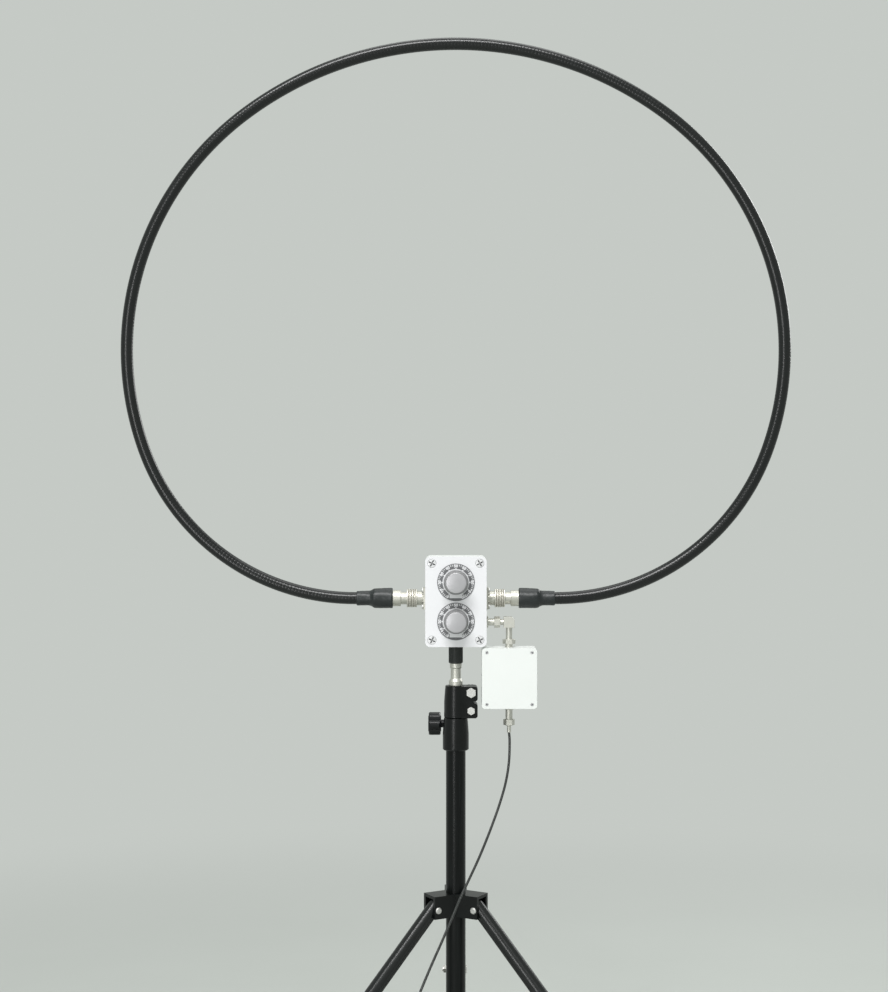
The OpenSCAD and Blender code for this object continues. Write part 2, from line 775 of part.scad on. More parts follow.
/* The coil spirals in on the floor, climbs a layer in half a turn at its middle and spirals out again,
   clockwise seen from above. Its two ends run straight for one cord diameter. */
coil_steps = 24;
coil_total = 2 * coil_turns + 0.5;
function coil_radius(u) =
    u < coil_turns ? coil_r - coil_pitch * u
    : u < coil_turns + 0.5 ? coil_inner
    : coil_inner + coil_pitch * (u - coil_turns - 0.5);
function coil_height(u) =
    let (t = max(0, min(1, 2 * (u - coil_turns)))) coil_low + coil_pitch * t * t * (3 - 2 * t);
function coil_point(u) = [
    coil_x + coil_radius(u) * sin(360 * u),
    coil_y + coil_radius(u) * cos(360 * u),
    coil_height(u)
];
coil_count = round(coil_total * coil_steps);
coil_path = concat(
    [coil_start],
    [for (i = [0 : coil_count]) coil_point(i / coil_steps)],
    [coil_point(coil_total) - [lead_d, 0, 0]]);
// The least distance between points at least three quarters of a turn apart, less the cord's diameter
coil_gap = min([
    for (i = [0 : coil_count], j = [i + 0.75 * coil_steps : coil_count])
        norm(coil_point(i / coil_steps) - coil_point(j / coil_steps))
]) - lead_d;

module lead_coil() {
    echo(coil_least_gap = coil_gap);
    color(black_rubber) tube(coil_path, lead_d, 6, [0, 0, 1]);
}

// The strap's inner side lies inside the smallest turn, which curves across its width
tie_w = 8;
module coil_tie() {
    inner = sqrt(pow(coil_inner - lead_d / 2, 2) - pow(tie_w / 2, 2)) - tie_gap / 2;
    outer = coil_r + lead_d / 2 + tie_gap;
    low = coil_low - lead_d / 2 - tie_gap;
    high = coil_top + lead_d / 2 + tie_gap;
    color(black_rubber) translate([coil_x + (inner + outer) / 2, coil_y + tie_w / 2, (low + high) / 2])
        rotate([90, 0, 0]) linear_extrude(tie_w) difference() {
            rounded(outer - inner + 2 * tie_t, high - low + 2 * tie_t, 1.2);
            square([outer - inner, high - low], center = true);
        }
}

far_nut_d = 2 * coil_top;
far_nut_len = 13;
far_body_d = 8.6;
far_body_len = 6;
module far_plug() {
    color(bright_metal) translate(coil_point(coil_total) - [lead_d, 0, 0]) rotate([0, -90, 0]) difference() {
        union() {
            cylinder(d = ferrule_d, h = ferrule_len + 1);
            translate([0, 0, ferrule_len]) cylinder(d = far_body_d, h = far_body_len + 1);
            translate([0, 0, ferrule_len + far_body_len]) cylinder(d = far_nut_d, h = far_nut_len);
        }
        translate([0, 0, ferrule_len + far_body_len + 4]) ring(far_nut_d / 2 - 1.4, 1, far_nut_len);
    }
}

/* The head's mounting: a sleeve screwed under the box, turning on the stud's tip. */
stud_tip_d = 6;
stud_tip_len = 12;
sleeve_head_d = 11;
sleeve_head_h = 2.4;
sleeve_round = 0.8;
module mount_sleeve() {
    color(black_metal) translate([0, 0, sleeve_z]) difference() {
        union() {
            rotate_extrude() polygon([
                [0, 0], [sleeve_d / 2 - sleeve_round, 0], [sleeve_d / 2, sleeve_round],
                [sleeve_d / 2, sleeve_h - sleeve_round], [sleeve_d / 2 - sleeve_round, sleeve_h],
                [0, sleeve_h]
            ]);
            cylinder(d = sleeve_screw_d, h = sleeve_h + box_wall + 1);
            translate([0, 0, sleeve_h + box_wall]) cylinder(d = sleeve_head_d, h = sleeve_head_h);
        }
        translate([0, 0, -1]) cylinder(d = stud_tip_d + 2 * run, h = stud_tip_len + 1.5);
    }
}

stud_flange_d = 15.4;
stud_waist_d = 11.4;
stud_head_d = 13.2;
stud_flange_h = 5;
stud_head_h = 5;
stud_insert = 30;
module stud() {
    color(bright_metal) translate([0, 0, stud_z]) {
        rotate_extrude() polygon([
            [0, 0], [stud_flange_d / 2, 0], [stud_flange_d / 2, stud_flange_h],
            [stud_waist_d / 2, stud_flange_h + 3], [stud_waist_d / 2, stud_h - stud_head_h - 1],
            [stud_head_d / 2, stud_h - stud_head_h], [stud_head_d / 2, stud_h], [0, stud_h]
        ]);
        cylinder(d = stud_tip_d, h = stud_h + stud_tip_len);
        translate([0, 0, -stud_insert]) cylinder(d = top_d - 2 * tube_wall - 2 * fit, h = stud_insert + 1);
    }
}

/* The mast's tubes, one inside the other, each ending in the collar that clamps the next. */
tube_step = 15;
collar_seat = 26;
module mast_tube(d, low, high) {
    color(black_metal) translate([0, 0, low]) ring(d / 2, d / 2 - tube_wall, high - low);
}
module column_tube() { mast_tube(column_d, column_foot, lower_collar_z + collar_seat); }
module mid_tube() { mast_tube(mid_d, column_foot + tube_step, upper_collar_z + collar_seat); }
module top_tube() { mast_tube(top_d, column_foot + 2 * tube_step, stud_z); }

/* A clamp collar: a tapered ring seated on the outer tube, split through a pair of notched ears. The upper
   bolt carries the lock knob and grips the inner tube, the lower one grips the outer tube. */
collar_wall = 3.6;
collar_lip = 3.7;
collar_bolt_out = 9;
ear_past_bolt = 7.3;
ear_corner = 3;
ear_margin = 0.4;
ear_notch_z = 18;
ear_notch_h = 2.4;
ear_notch_in = 4.2;
lower_bolt_z = 8.8;
collar_slit = 2;
clamp_bolt_d = 6;
clamp_flats = 10;
clamp_head_h = 3.6;
pinch_bolt_d = 5;
pinch_flats = 8;
pinch_head_h = 3.2;
function collar_bolt_x(inner_d) = inner_d / 2 + collar_bolt_out;

// The ears' outline in X and Z: an upper and a lower plate with a notch between them
module ear_outline(reach) {
    split_low = ear_notch_z - ear_notch_h / 2;
    split_high = ear_notch_z + ear_notch_h / 2;
    for (span = [[ear_margin, split_low], [split_high, collar_h - ear_margin]])
        translate([reach / 2, (span[0] + span[1]) / 2]) rounded(reach, span[1] - span[0], ear_corner);
    translate([0, split_low - 4]) square([reach - ear_notch_in, ear_notch_h + 8]);
}

module collar(outer_d, inner_d, half, bolt_z) {
    low_r = outer_d / 2 + collar_wall;
    high_r = inner_d / 2 + collar_lip;
    bolt_x = collar_bolt_x(inner_d);
    reach = bolt_x + ear_past_bolt;
    color(black_metal) difference() {
        union() {
            rotate_extrude() polygon([
                [0, 0], [low_r - 1, 0], [low_r, 1], [low_r, collar_h / 2],
                [high_r + 0.5, collar_h * 0.85], [high_r, collar_h - 0.5], [high_r - 0.5, collar_h],
                [0, collar_h]
            ]);
            translate([0, half, 0]) rotate([90, 0, 0]) linear_extrude(2 * half) ear_outline(reach);
        }
        translate([0, 0, -1]) cylinder(d = outer_d + 2 * fit, h = collar_seat + 1);
        cylinder(d = inner_d + 2 * slip, h = collar_h + 1);
        translate([0, -collar_slit / 2, -1]) cube([reach + 1, collar_slit, collar_h + 2]);
        translate([bolt_x, -half - 1, bolt_z]) along_y()
            cylinder(d = clamp_bolt_d + 2 * fit, h = 2 * half + 2);
        translate([bolt_x, -half - 1, lower_bolt_z]) along_y()
            cylinder(d = pinch_bolt_d + 2 * fit, h = 2 * half + 2);
    }
}

// A bolt along Y through ears of the given half width, its head in front
module bolt(d, flats, head_h, half, tail) {
    translate([0, -half - head_h, 0]) along_y() rotate([0, 0, 30]) hexagon(flats, head_h);
    translate([0, -half - head_h, 0]) along_y() cylinder(d = d, h = 2 * half + head_h + tail);
}

module collar_bolts(inner_d, half, bolt_z, tail) {
    color(bright_metal) translate([collar_bolt_x(inner_d), 0, 0]) {
        translate([0, 0, bolt_z]) bolt(clamp_bolt_d, clamp_flats, clamp_head_h, half, tail);
        translate([0, 0, lower_bolt_z]) {
            bolt(pinch_bolt_d, pinch_flats, pinch_head_h, half, 1);
            translate([0, half, 0]) along_y() hexagon(pinch_flats, pinch_head_h);
        }
    }
}

// A six-lobed knob along Z: lobes round a core that stands a little past them, with a cone at each end
// taking off their corners
lobe_count = 6;
lobe_share = 0.42;
core_share = 0.66;
lobe_end = 0.04;
lobe_bevel = 0.1;
lobe_mouth = 0.43;
module lobed_knob(d, len) {
    lobe_r = lobe_share * d / 2;
    clear_r = (lobe_mouth + lobe_bevel) * d;
    low = lobe_end * len;
    high = len - low;
    cylinder(d = core_share * d, h = len);
    intersection() {
        translate([0, 0, low]) linear_extrude(high - low) for (i = [0 : lobe_count - 1])
            rotate([0, 0, 360 / lobe_count * i]) translate([d / 2 - lobe_r, 0]) circle(r = lobe_r);
        rotate_extrude() polygon([
            [0, 0], [lobe_mouth * d, 0], [clear_r, low + lobe_bevel * d],
            [clear_r, high - lobe_bevel * d], [lobe_mouth * d, len], [0, len]
        ]);
    }
}

// A collar's knob on its bolt: a neck that bears on the ear, then the lobed grip from the given distance
module collar_knob(inner_d, half, bolt_z, grip_from, d, len, depth) {
    neck_d = clamp_bolt_d + 3;
    color(black_rubber) translate([collar_bolt_x(inner_d), 0, bolt_z]) along_y() difference() {
        union() {
            translate([0, 0, half + 0.2]) cylinder(d = neck_d, h = grip_from - half + 1);
            translate([0, 0, grip_from]) lobed_knob(d, len);
        }
        translate([0, 0, half - 1]) cylinder(d = clamp_bolt_d + 2 * run, h = depth + 1);
    }
}

// Half widths of the ears, heights of the clamp bolts, and where each knob's grip starts and its bore ends
upper_half = top_d / 2 + collar_lip - 0.6;
upper_clamp_z = 29;
thumb_len = 9;
thumb_from = upper_half + 0.9;
thumb_depth = 8;
lower_half = 8.5;
lower_clamp_z = 26.8;
lock_from = 16.4;
lock_depth = 18;
module at_upper_collar() { translate([0, 0, upper_collar_z]) children(); }
module at_lower_collar() { translate([0, 0, lower_collar_z]) rotate([0, 0, 90]) children(); }
module upper_collar() { at_upper_collar() collar(mid_d, top_d, upper_half, upper_clamp_z); }
module upper_collar_bolts() {
    at_upper_collar() collar_bolts(top_d, upper_half, upper_clamp_z, thumb_depth - 0.5);
}
module upper_lock_knob() {
    at_upper_collar()
        collar_knob(top_d, upper_half, upper_clamp_z, thumb_from, thumb_d, thumb_len, thumb_depth);
}
module lower_collar() { at_lower_collar() collar(column_d, mid_d, lower_half, lower_clamp_z); }
module lower_collar_bolts() {
    at_lower_collar() collar_bolts(mid_d, lower_half, lower_clamp_z, lock_depth - 0.5);
}
module lower_lock_knob() {
    at_lower_collar()
        collar_knob(mid_d, lower_half, lower_clamp_z, lock_from, lock_knob_d, lock_knob_len, lock_depth);
}

/* The leg hub: three forked arms with a flat top over each leg's end, bored for the column. */
leg_gap = 0.4;
ear_t = 4.1;
arm_half = leg_d / 2 + leg_gap + ear_t;
arm_reach = pivot_r + 4.7;
hub_low = 9.5;
hub_top = 15.6;
leg_top = 8;
pin_hole_d = 6;
hub_slot_up = norm([leg_top, leg_d / 2]) + 1;
// Where an arm's side meets the next arm's
arm_crotch = [arm_half / tan(60), arm_half];
module leg_hub() {
    color(black_metal) translate([0, 0, pivot_z]) difference() {
        translate([0, 0, -hub_low]) linear_extrude(hub_low + hub_top) polygon([
            for (a = leg_angles, corner = [[arm_reach, -arm_half], [arm_reach, arm_half], arm_crotch])
                [corner[0] * cos(a) - corner[1] * sin(a), corner[0] * sin(a) + corner[1] * cos(a)]
        ]);
        translate([0, 0, -hub_low - 1]) cylinder(d = column_d + 2 * fit, h = hub_top + hub_low + 2);
        for (a = leg_angles) at_leg(a) {
            translate([pivot_r - hub_slot_up, -leg_d / 2 - leg_gap, -hub_low - 1])
                cube([arm_reach, leg_d + 2 * leg_gap, hub_low + 1 + hub_slot_up]);
            translate([pivot_r, -arm_half - 1, 0]) along_y() cylinder(d = pin_hole_d, h = 2 * arm_half + 2);
        }
    }
}

rivet_d = 8;
rivet_h = 1.6;
module hub_pins() {
    color(bright_metal) translate([0, 0, pivot_z]) for (a = leg_angles) at_leg(a)
        translate([pivot_r, 0, 0]) along_y() {
            translate([0, 0, -arm_half]) cylinder(d = pin_hole_d - 2 * run, h = 2 * arm_half);
            for (s = [0, 1]) mirror([0, 0, s]) translate([0, 0, arm_half])
                cylinder(d1 = rivet_d, d2 = rivet_d - 2, h = rivet_h);
        }
}

/* A leg: a tube hung on its hub pin, with the bolt that carries its brace. Along the leg, Z runs down from
   the pivot to the floor and X points to the inner side. */
brace_gap = 0.5;
brace_in = leg_d / 2 + brace_gap;
brace_out = brace_in + brace_t;
brace_bolt_d = 5;
brace_flats = 8;
brace_head_h = 3.4;
foot_cover = 52;
foot_sole = 16;
module leg_frame(a) {
    at_leg(a) translate([pivot_r, 0, pivot_z]) rotate([0, 180 - leg_spread, 0]) children();
}
module leg(a) {
    color(black_metal) leg_frame(a) {
        difference() {
            translate([0, 0, -leg_top]) cylinder(d = leg_d, h = leg_top + leg_len - foot_sole);
            translate([0, 0, -leg_top - 1]) cylinder(d = leg_d - 2 * tube_wall, h = leg_len + leg_top);
            translate([0, -leg_d, 0]) along_y() cylinder(d = pin_hole_d, h = 2 * leg_d);
        }
        translate([0, 0, brace_len]) {
            bolt(brace_bolt_d, brace_flats, brace_head_h, brace_out + slip, brace_head_h + 1.5);
            translate([0, brace_out + slip, 0]) along_y() hexagon(brace_flats, brace_head_h);
        }
    }
}
module left_leg() { leg(left_angle); }
module right_leg() { leg(right_angle); }
module rear_leg() { leg(rear_angle); }

// A rubber foot: a flared boot on the leg's end, cut level with the floor
foot_top_d = leg_d + 4;
foot_low_d = leg_d + 8;
module foot(a) {
    color(black_rubber) difference() {
        leg_frame(a) translate([0, 0, leg_len - foot_cover]) difference() {
            cylinder(d1 = foot_top_d, d2 = foot_low_d, h = foot_cover + foot_low_d);
            translate([0, 0, -1]) cylinder(d = leg_d + 2 * fit, h = foot_cover - foot_sole + 1);
        }
        translate([-leg_len, -leg_len, -100]) cube([2 * leg_len, 2 * leg_len, 100]);
    }
}
module left_foot() { foot(left_angle); }
module right_foot() { foot(right_angle); }
module rear_foot() { foot(rear_angle); }

/* A brace: a pressed channel over its leg, bolted to it at the top and hung in the slider's fork below.
   It is as long as the bolt's distance down the leg, so leg and brace fold as one isosceles triangle. */
brace_r = 6;
web_in = leg_d / 2 + 0.4;
web_start = 16;
web_stop = 34;
module brace_frame(a) {
    at_leg(a) translate([pivot_r + brace_len * sin(leg_spread), 0, pivot_z - brace_len * cos(leg_spread)])
        rotate([0, 180 + leg_spread, 0]) children();
}
module brace(a) {
    color(black_metal) brace_frame(a) {
        difference() {
            union() for (y = [-brace_out, brace_in]) translate([0, y + brace_t, 0]) rotate([90, 0, 0])
                linear_extrude(brace_t) {
                    circle(r = brace_r);
                    translate([0, brace_len]) circle(r = brace_r);
                    translate([-brace_r, 0]) square([2 * brace_r, brace_len]);
                    translate([0, web_start]) square([web_in + brace_t, brace_len - web_start - web_stop]);
                }
            for (z = [0, brace_len]) translate([0, -brace_out - 1, z]) along_y()
                cylinder(d = brace_bolt_d + 2 * run, h = 2 * brace_out + 2);
        }
        translate([web_in, -brace_out, web_start])
            cube([brace_t, 2 * brace_out, brace_len - web_start - web_stop]);
    }
}
module left_brace() { brace(left_angle); }
module right_brace() { brace(right_angle); }
module rear_brace() { brace(rear_angle); }

/* The brace slider: a ring on the column with a forked arm for each brace and a boss for its lock screw.
   The forks stand outside the braces, so the folded legs lie between them. */
slider_wall = 5;
slider_half = 12;
fork_in = brace_out + 0.4;
fork_out = fork_in + 3;
fork_r = 7;
fork_root = pivot_r - leg_d / 2 - 2;
fork_rivet_d = 9;
fork_rivet_h = 1.8;
boss_angle = 30;
boss_d = 12;
boss_reach = 24;
slider_screw_d = 6;
module brace_slider() {
    ring_r = column_d / 2 + slider_wall;
    color(black_metal) translate([0, 0, slider_z]) difference() {
        union() {
            translate([0, 0, -slider_half]) cylinder(r = ring_r, h = 2 * slider_half);
            for (a = leg_angles) at_leg(a) difference() {
                union() {
                    translate([0, fork_out, 0]) rotate([90, 0, 0]) linear_extrude(2 * fork_out) {
                        translate([0, -fork_r]) square([pivot_r, 2 * fork_r]);
                        translate([pivot_r, 0]) circle(r = fork_r);
                    }
                    for (s = [0, 1]) mirror([0, s, 0]) translate([pivot_r, fork_out, 0]) along_y()
                        cylinder(d1 = fork_rivet_d, d2 = fork_rivet_d - 2, h = fork_rivet_h);
                }
                translate([fork_root, -fork_in, -fork_r - 1]) cube([pivot_r, 2 * fork_in, 2 * fork_r + 2]);
            }
            at_leg(boss_angle) along_x() cylinder(d = boss_d, h = boss_reach);
        }
        translate([0, 0, -slider_half - 1]) cylinder(d = column_d + 2 * slip, h = 2 * slider_half + 2);
        at_leg(boss_angle) along_x() cylinder(d = slider_screw_d + 2 * run, h = boss_reach + 1);
    }
}

slider_knob_d = 22;
module slider_knob() {
    color(black_rubber) translate([0, 0, slider_z]) at_leg(boss_angle) along_x() {
        translate([0, 0, column_d / 2 + slip])
            cylinder(d = slider_screw_d, h = boss_reach - column_d / 2 + 2);
        translate([0, 0, boss_reach + slip]) lobed_knob(slider_knob_d, lock_knob_len);
    }
}

loop_cable();
cable_boots();
loop_plugs();
left_coupling_nut();
right_coupling_nut();
loop_sockets();
socket_screws();
tuner_case();
tuner_lid();
lid_screws();
dial_plates();
panel_nuts();
upper_knob();
lower_knob();
upper_knob_cap();
lower_knob_cap();
capacitor_frames();
capacitor_stators();
upper_rotor();
lower_rotor();
coupling_toroid();
feed_socket();
elbow();
elbow_nut();
match_case();
match_lid();
match_screws();
match_sockets();
match_board();
match_toroid();
lead_plug();
lead_plug_nut();
feed_lead();
lead_coil();
coil_tie();
far_plug();
mount_sleeve();
stud();
top_tube();
mid_tube();
upper_collar();
upper_collar_bolts();
upper_lock_knob();
column_tube();
lower_collar();
lower_collar_bolts();
lower_lock_knob();
leg_hub();
hub_pins();
brace_slider();
slider_knob();
left_leg();
right_leg();
rear_leg();
left_foot();
right_foot();
rear_foot();
left_brace();
right_brace();
rear_brace();
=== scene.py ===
import json
import math

import bmesh
import bpy
import numpy as np
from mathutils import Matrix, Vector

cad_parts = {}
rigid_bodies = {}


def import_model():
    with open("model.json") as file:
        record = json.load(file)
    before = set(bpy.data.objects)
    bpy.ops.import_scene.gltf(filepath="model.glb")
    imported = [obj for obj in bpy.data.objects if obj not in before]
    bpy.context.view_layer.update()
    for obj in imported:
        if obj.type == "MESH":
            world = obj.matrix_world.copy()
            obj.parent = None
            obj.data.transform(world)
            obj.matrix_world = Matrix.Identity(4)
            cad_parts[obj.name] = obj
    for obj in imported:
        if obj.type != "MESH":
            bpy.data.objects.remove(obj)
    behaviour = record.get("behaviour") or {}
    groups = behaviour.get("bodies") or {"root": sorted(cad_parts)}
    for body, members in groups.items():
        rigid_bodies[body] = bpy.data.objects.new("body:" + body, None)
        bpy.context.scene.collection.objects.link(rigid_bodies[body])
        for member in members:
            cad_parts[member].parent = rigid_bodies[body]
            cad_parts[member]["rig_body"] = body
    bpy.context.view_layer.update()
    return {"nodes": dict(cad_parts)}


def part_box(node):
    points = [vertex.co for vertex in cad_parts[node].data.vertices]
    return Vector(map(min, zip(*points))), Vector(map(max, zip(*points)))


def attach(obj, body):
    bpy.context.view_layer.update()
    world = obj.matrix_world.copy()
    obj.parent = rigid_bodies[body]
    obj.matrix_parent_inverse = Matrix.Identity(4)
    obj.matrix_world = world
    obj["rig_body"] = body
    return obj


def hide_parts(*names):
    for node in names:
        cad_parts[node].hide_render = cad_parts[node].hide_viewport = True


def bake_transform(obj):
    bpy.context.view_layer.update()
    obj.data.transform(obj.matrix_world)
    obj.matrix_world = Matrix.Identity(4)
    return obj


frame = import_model()

# The room: a level camera at the height of the loop's lower half, looking straight at the dials.
# Its lens gives the photograph's frame of 888 by 992.
picture_wide, focal_pixels, sensor_wide = 888, 1696, 36
camera = bpy.data.objects.new("camera", bpy.data.cameras.new("camera"))
bpy.context.scene.collection.objects.link(camera)
camera.location = (-0.0132, -1.9, 0.8641)
camera.rotation_euler = (math.radians(90), 0, 0)
camera.data.sensor_fit = "HORIZONTAL"
camera.data.sensor_width = sensor_wide
camera.data.lens = sensor_wide * focal_pixels / picture_wide
bpy.context.scene.camera = camera
bpy.context.scene.view_settings.view_transform = "Standard"


# The floor: a wide pale disc under the feet. It melts into the backdrop's colour with distance, so that only
# the object's shadow shows on it.
class Flow:
    """One output of a material's nodes. Arithmetic on it adds Math nodes, and node() adds any other."""

    def __init__(self, tree, output):
        self.tree = tree
        self.output = output

    def node(self, kind, settings, links, out=0):
        """Adds a node, sets its settings, then fills its sockets, by name or place, with values or links."""
        made = self.tree.nodes.new("ShaderNode" + kind)
        for name, value in settings.items():
            setattr(made, name, value)
        for name, value in links.items():
            if isinstance(value, Flow):
                self.tree.links.new(value.output, made.inputs[name])
            else:
                made.inputs[name].default_value = value
        return Flow(self.tree, made.outputs[out])

    def math(self, operation, first, second=0.0):
        """A Math node on one or two values or flows."""
        return self.node("Math", {"operation": operation}, {0: first, 1: second})

    def __add__(self, other):
        return self.math("ADD", self, other)

    def __radd__(self, other):
        return self.math("ADD", other, self)

    def __sub__(self, other):
        return self.math("SUBTRACT", self, other)

    def __rsub__(self, other):
        return self.math("SUBTRACT", other, self)

    def __mul__(self, other):
        return self.math("MULTIPLY", self, other)

    def __rmul__(self, other):
        return self.math("MULTIPLY", other, self)

    def size(self):
        """The value without its sign."""
        return self.math("ABSOLUTE", self)

    def rise(self, low, high):
        """0 below low, 1 above high, and a smooth step between."""
        return self.node("MapRange", {"interpolation_type": "SMOOTHSTEP"},
                         {"Value": self, "From Min": low, "From Max": high})

    def tint(self, at_zero, at_one):
        """A colour between two colours, by this value."""
        return self.node("Mix", {"data_type": "RGBA"}, {0: self, 6: at_zero, 7: at_one}, out=2)

    def noise(self, scale, detail=3.0, rough=0.5):
        """A cloudy value between 0 and 1, with about scale clouds in a metre."""
        return self.node("TexNoise", {},
                         {"Vector": self, "Scale": scale, "Detail": detail, "Roughness": rough})

    def axes(self):
        """The three parts of a vector."""
        return [self.node("SeparateXYZ", {}, {0: self}, out=i) for i in range(3)]

    def stretched(self, x, y, z):
        """The vector with each axis scaled, so that a pattern on it is drawn out."""
        return self.node("Mapping", {}, {"Vector": self, "Scale": (x, y, z)})

    def bump(self, strength, depth):
        """A normal bent by this value as a height, with its depth in metres."""
        return self.node("Bump", {}, {"Height": self, "Strength": strength, "Distance": depth})


class Finish:
    """A material with one shader: constants sit on the shader's own sockets, and wear() links what varies."""

    def __init__(self, name, **constants):
        self.material = bpy.data.materials.new(name)
        self.material.use_nodes = True
        self.tree = self.material.node_tree
        self.shader = self.tree.nodes["Principled BSDF"]
        for key, value in constants.items():
            self.shader.inputs[key.replace("_", " ")].default_value = value
        self.place = Flow(self.tree, self.tree.nodes.new("ShaderNodeTexCoord").outputs["Object"])

    def wear(self, **flows):
        """Links each flow to the shader's socket of that name."""
        for key, flow in flows.items():
            self.tree.links.new(flow.output, self.shader.inputs[key.replace("_", " ")])


def ink(r, g, b):
    """A colour with full cover, as a socket takes it."""
    return (r, g, b, 1.0)


def put_in_scene(name, points, faces, material, crease=40):
    """A mesh from points and faces, smooth except where faces meet at more than the crease angle."""
    mesh = bpy.data.meshes.new(name)
    mesh.from_pydata(np.asarray(points).reshape(-1, 3).tolist(), [], faces)
    mesh.polygons.foreach_set("use_smooth", np.ones(len(mesh.polygons), bool))
    mesh.set_sharp_from_angle(angle=math.radians(crease))
    mesh.materials.append(material)
    made = bpy.data.objects.new(name, mesh)
    bpy.context.scene.collection.objects.link(made)
    return made


def grid_faces(rows, columns, first=0, ring=False):
    """Quads between neighbours on a grid that closes round its columns, and in a ring round its rows too."""
    row, column = np.mgrid[0:rows - (0 if ring else 1), 0:columns]
    below, after = (row + 1) % rows, (column + 1) % columns
    return (first + np.stack([row * columns + column, row * columns + after,
                              below * columns + after, below * columns + column], -1)).reshape(-1, 4)


BACKDROP = (0.56, 0.59, 0.56)
melt_from, melt_to = 0.9, 2.6
ring_r = np.array([0.02, 0.4, 0.8, 1.2, 1.8, 2.6, 4.0, 8.0, 20.0, 60.0])[:, None]
ring_a = np.linspace(0, 2 * np.pi, 64, endpoint=False)[None, :]
disc = np.stack([ring_r * np.cos(ring_a), ring_r * np.sin(ring_a), 0 * ring_r * ring_a], -1)
pale = Finish("pale_floor", Roughness=0.9)
distance = pale.place.node("VectorMath", {"operation": "LENGTH"}, {0: pale.place}, out=1)
far = distance.rise(melt_from, melt_to)
pale.wear(Base_Color=pale.place.noise(3.0).tint(ink(0.50, 0.53, 0.50), ink(0.54, 0.57, 0.54)))
glow = far.node("Emission", {}, {"Color": ink(*BACKDROP), "Strength": 1.0})
melted = far.node("MixShader", {}, {0: far, 1: Flow(pale.tree, pale.shader.outputs[0]), 2: glow})
pale.tree.links.new(melted.output, pale.tree.nodes["Material Output"].inputs["Surface"])
floor_faces = grid_faces(len(ring_r), ring_a.size)[:, ::-1].tolist() + [list(range(ring_a.size))]
floor = put_in_scene("floor", disc, floor_faces, pale.material)

# The light: a wide strip high behind the camera draws one soft line along the loop. A tall panel left of the
# camera draws one down the mast and the legs and fills the shade, and two lamps behind the object light its
# other sides.
lit_point = np.array([0.0, 0.0, 0.85])
for panel, place, width, height, power in (("key", (-0.8, -3.2, 5.15), 3.6, 1.0, 284.0),
                                           ("fill", (-1.0, -2.6, 0.9), 0.35, 1.6, 20.0),
                                           ("top", (0.2, 0.6, 3.0), 1.6, 1.6, 14.0),
                                           ("rim", (1.4, 1.8, 1.7), 1.0, 1.0, 16.0)):
    lamp = bpy.data.objects.new(panel, bpy.data.lights.new(panel, "AREA"))
    bpy.context.scene.collection.objects.link(lamp)
    lamp.data.shape = "RECTANGLE"
    lamp.data.size = width
    lamp.data.size_y = height
    lamp.data.energy = power
    aim = lit_point - np.array(place)
    lamp.location = place
    lamp.rotation_euler = (math.acos(-aim[2] / np.linalg.norm(aim)), 0,
                           math.atan2(aim[1], aim[0]) - math.pi / 2)

# The backdrop: an even pale grey all round. The camera, gloss and glass see its full colour, and it lights
# the object by less than half of that, so that its paleness is no extra light.
room_light = 0.45
world = bpy.data.worlds.new("room")
bpy.context.scene.world = world
world.use_nodes = True
sky = world.node_tree.nodes["Background"]
air = Flow(world.node_tree, sky.outputs[0])
eye, mirror, glass = (air.node("LightPath", {}, {}, out=f"Is {way} Ray")
                      for way in ("Camera", "Glossy", "Transmission"))
seen = air.math("MAXIMUM", eye, air.math("MAXIMUM", mirror, glass))
strength = room_light + (1 - room_light) * seen
sky.inputs["Color"].default_value = ink(*BACKDROP)
world.node_tree.links.new(strength.output, sky.inputs["Strength"])

# The mast: three drawn steel tubes, one in the other, in glossy black enamel. The clamp collars hold them at
# any height, and sliding has left long faint rubs.
nodes = frame["nodes"]


def dress(node, material):
    """Gives its finish to a CAD node that stays as it is."""
    nodes[node].data.materials.clear()
    nodes[node].data.materials.append(material)


coat = Finish("black_enamel", Specular_IOR_Level=0.22)
rub = coat.place.stretched(1, 1, 0.04).noise(420.0, 4.0)
coat.wear(Base_Color=rub.rise(0.45, 0.8).tint(ink(0.0015, 0.0022, 0.0022), ink(0.005, 0.0065, 0.0065)),
          Roughness=0.26 + 0.06 * rub)
for node in ("column_tube", "mid_tube", "top_tube"):
    dress(node, coat.material)

# The hub, the brace slider and the two clamp collars: aluminium castings with rounded edges, in satin black
# enamel. The hub sits fast on the column, the slider rides on it, and the collars grip the tubes.
MM = 0.001


def eased(node, width, material, crease=32):
    """A copy of a CAD node with its corners merged, flat faces joined and sharp edges rounded to width mm.

    Corners on the same half micrometre are one, and a face that has lost a corner by it is left out."""
    source = nodes[node].data
    points = np.empty(len(source.vertices) * 3, np.float32)
    source.vertices.foreach_get("co", points)
    points = points.reshape(-1, 3)
    corners = np.empty(len(source.loops), np.int32)
    source.loops.foreach_get("vertex_index", corners)
    half_microns = np.round(points * 2e6).astype(np.int64)
    _, first, place = np.unique(half_microns, axis=0, return_index=True, return_inverse=True)
    faces = place.ravel()[corners].reshape(-1, 3)
    faces = faces[(faces[:, 0] != faces[:, 1]) & (faces[:, 1] != faces[:, 2]) & (faces[:, 2] != faces[:, 0])]
    made = put_in_scene(node + "_eased", points[first], faces.tolist(), material, crease)
    work = bmesh.new()
    work.from_mesh(made.data)
    bmesh.ops.dissolve_limit(work, angle_limit=math.radians(0.4), verts=work.verts[:], edges=work.edges[:])
    work.to_mesh(made.data)
    work.free()
    soft = made.modifiers.new("eased", "BEVEL")
    soft.width = width * MM
    soft.segments = 2
    soft.limit_method = "ANGLE"
    soft.angle_limit = math.radians(crease)
    soft.harden_normals = True
    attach(made, nodes[node]["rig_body"])
    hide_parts(node)
    return made


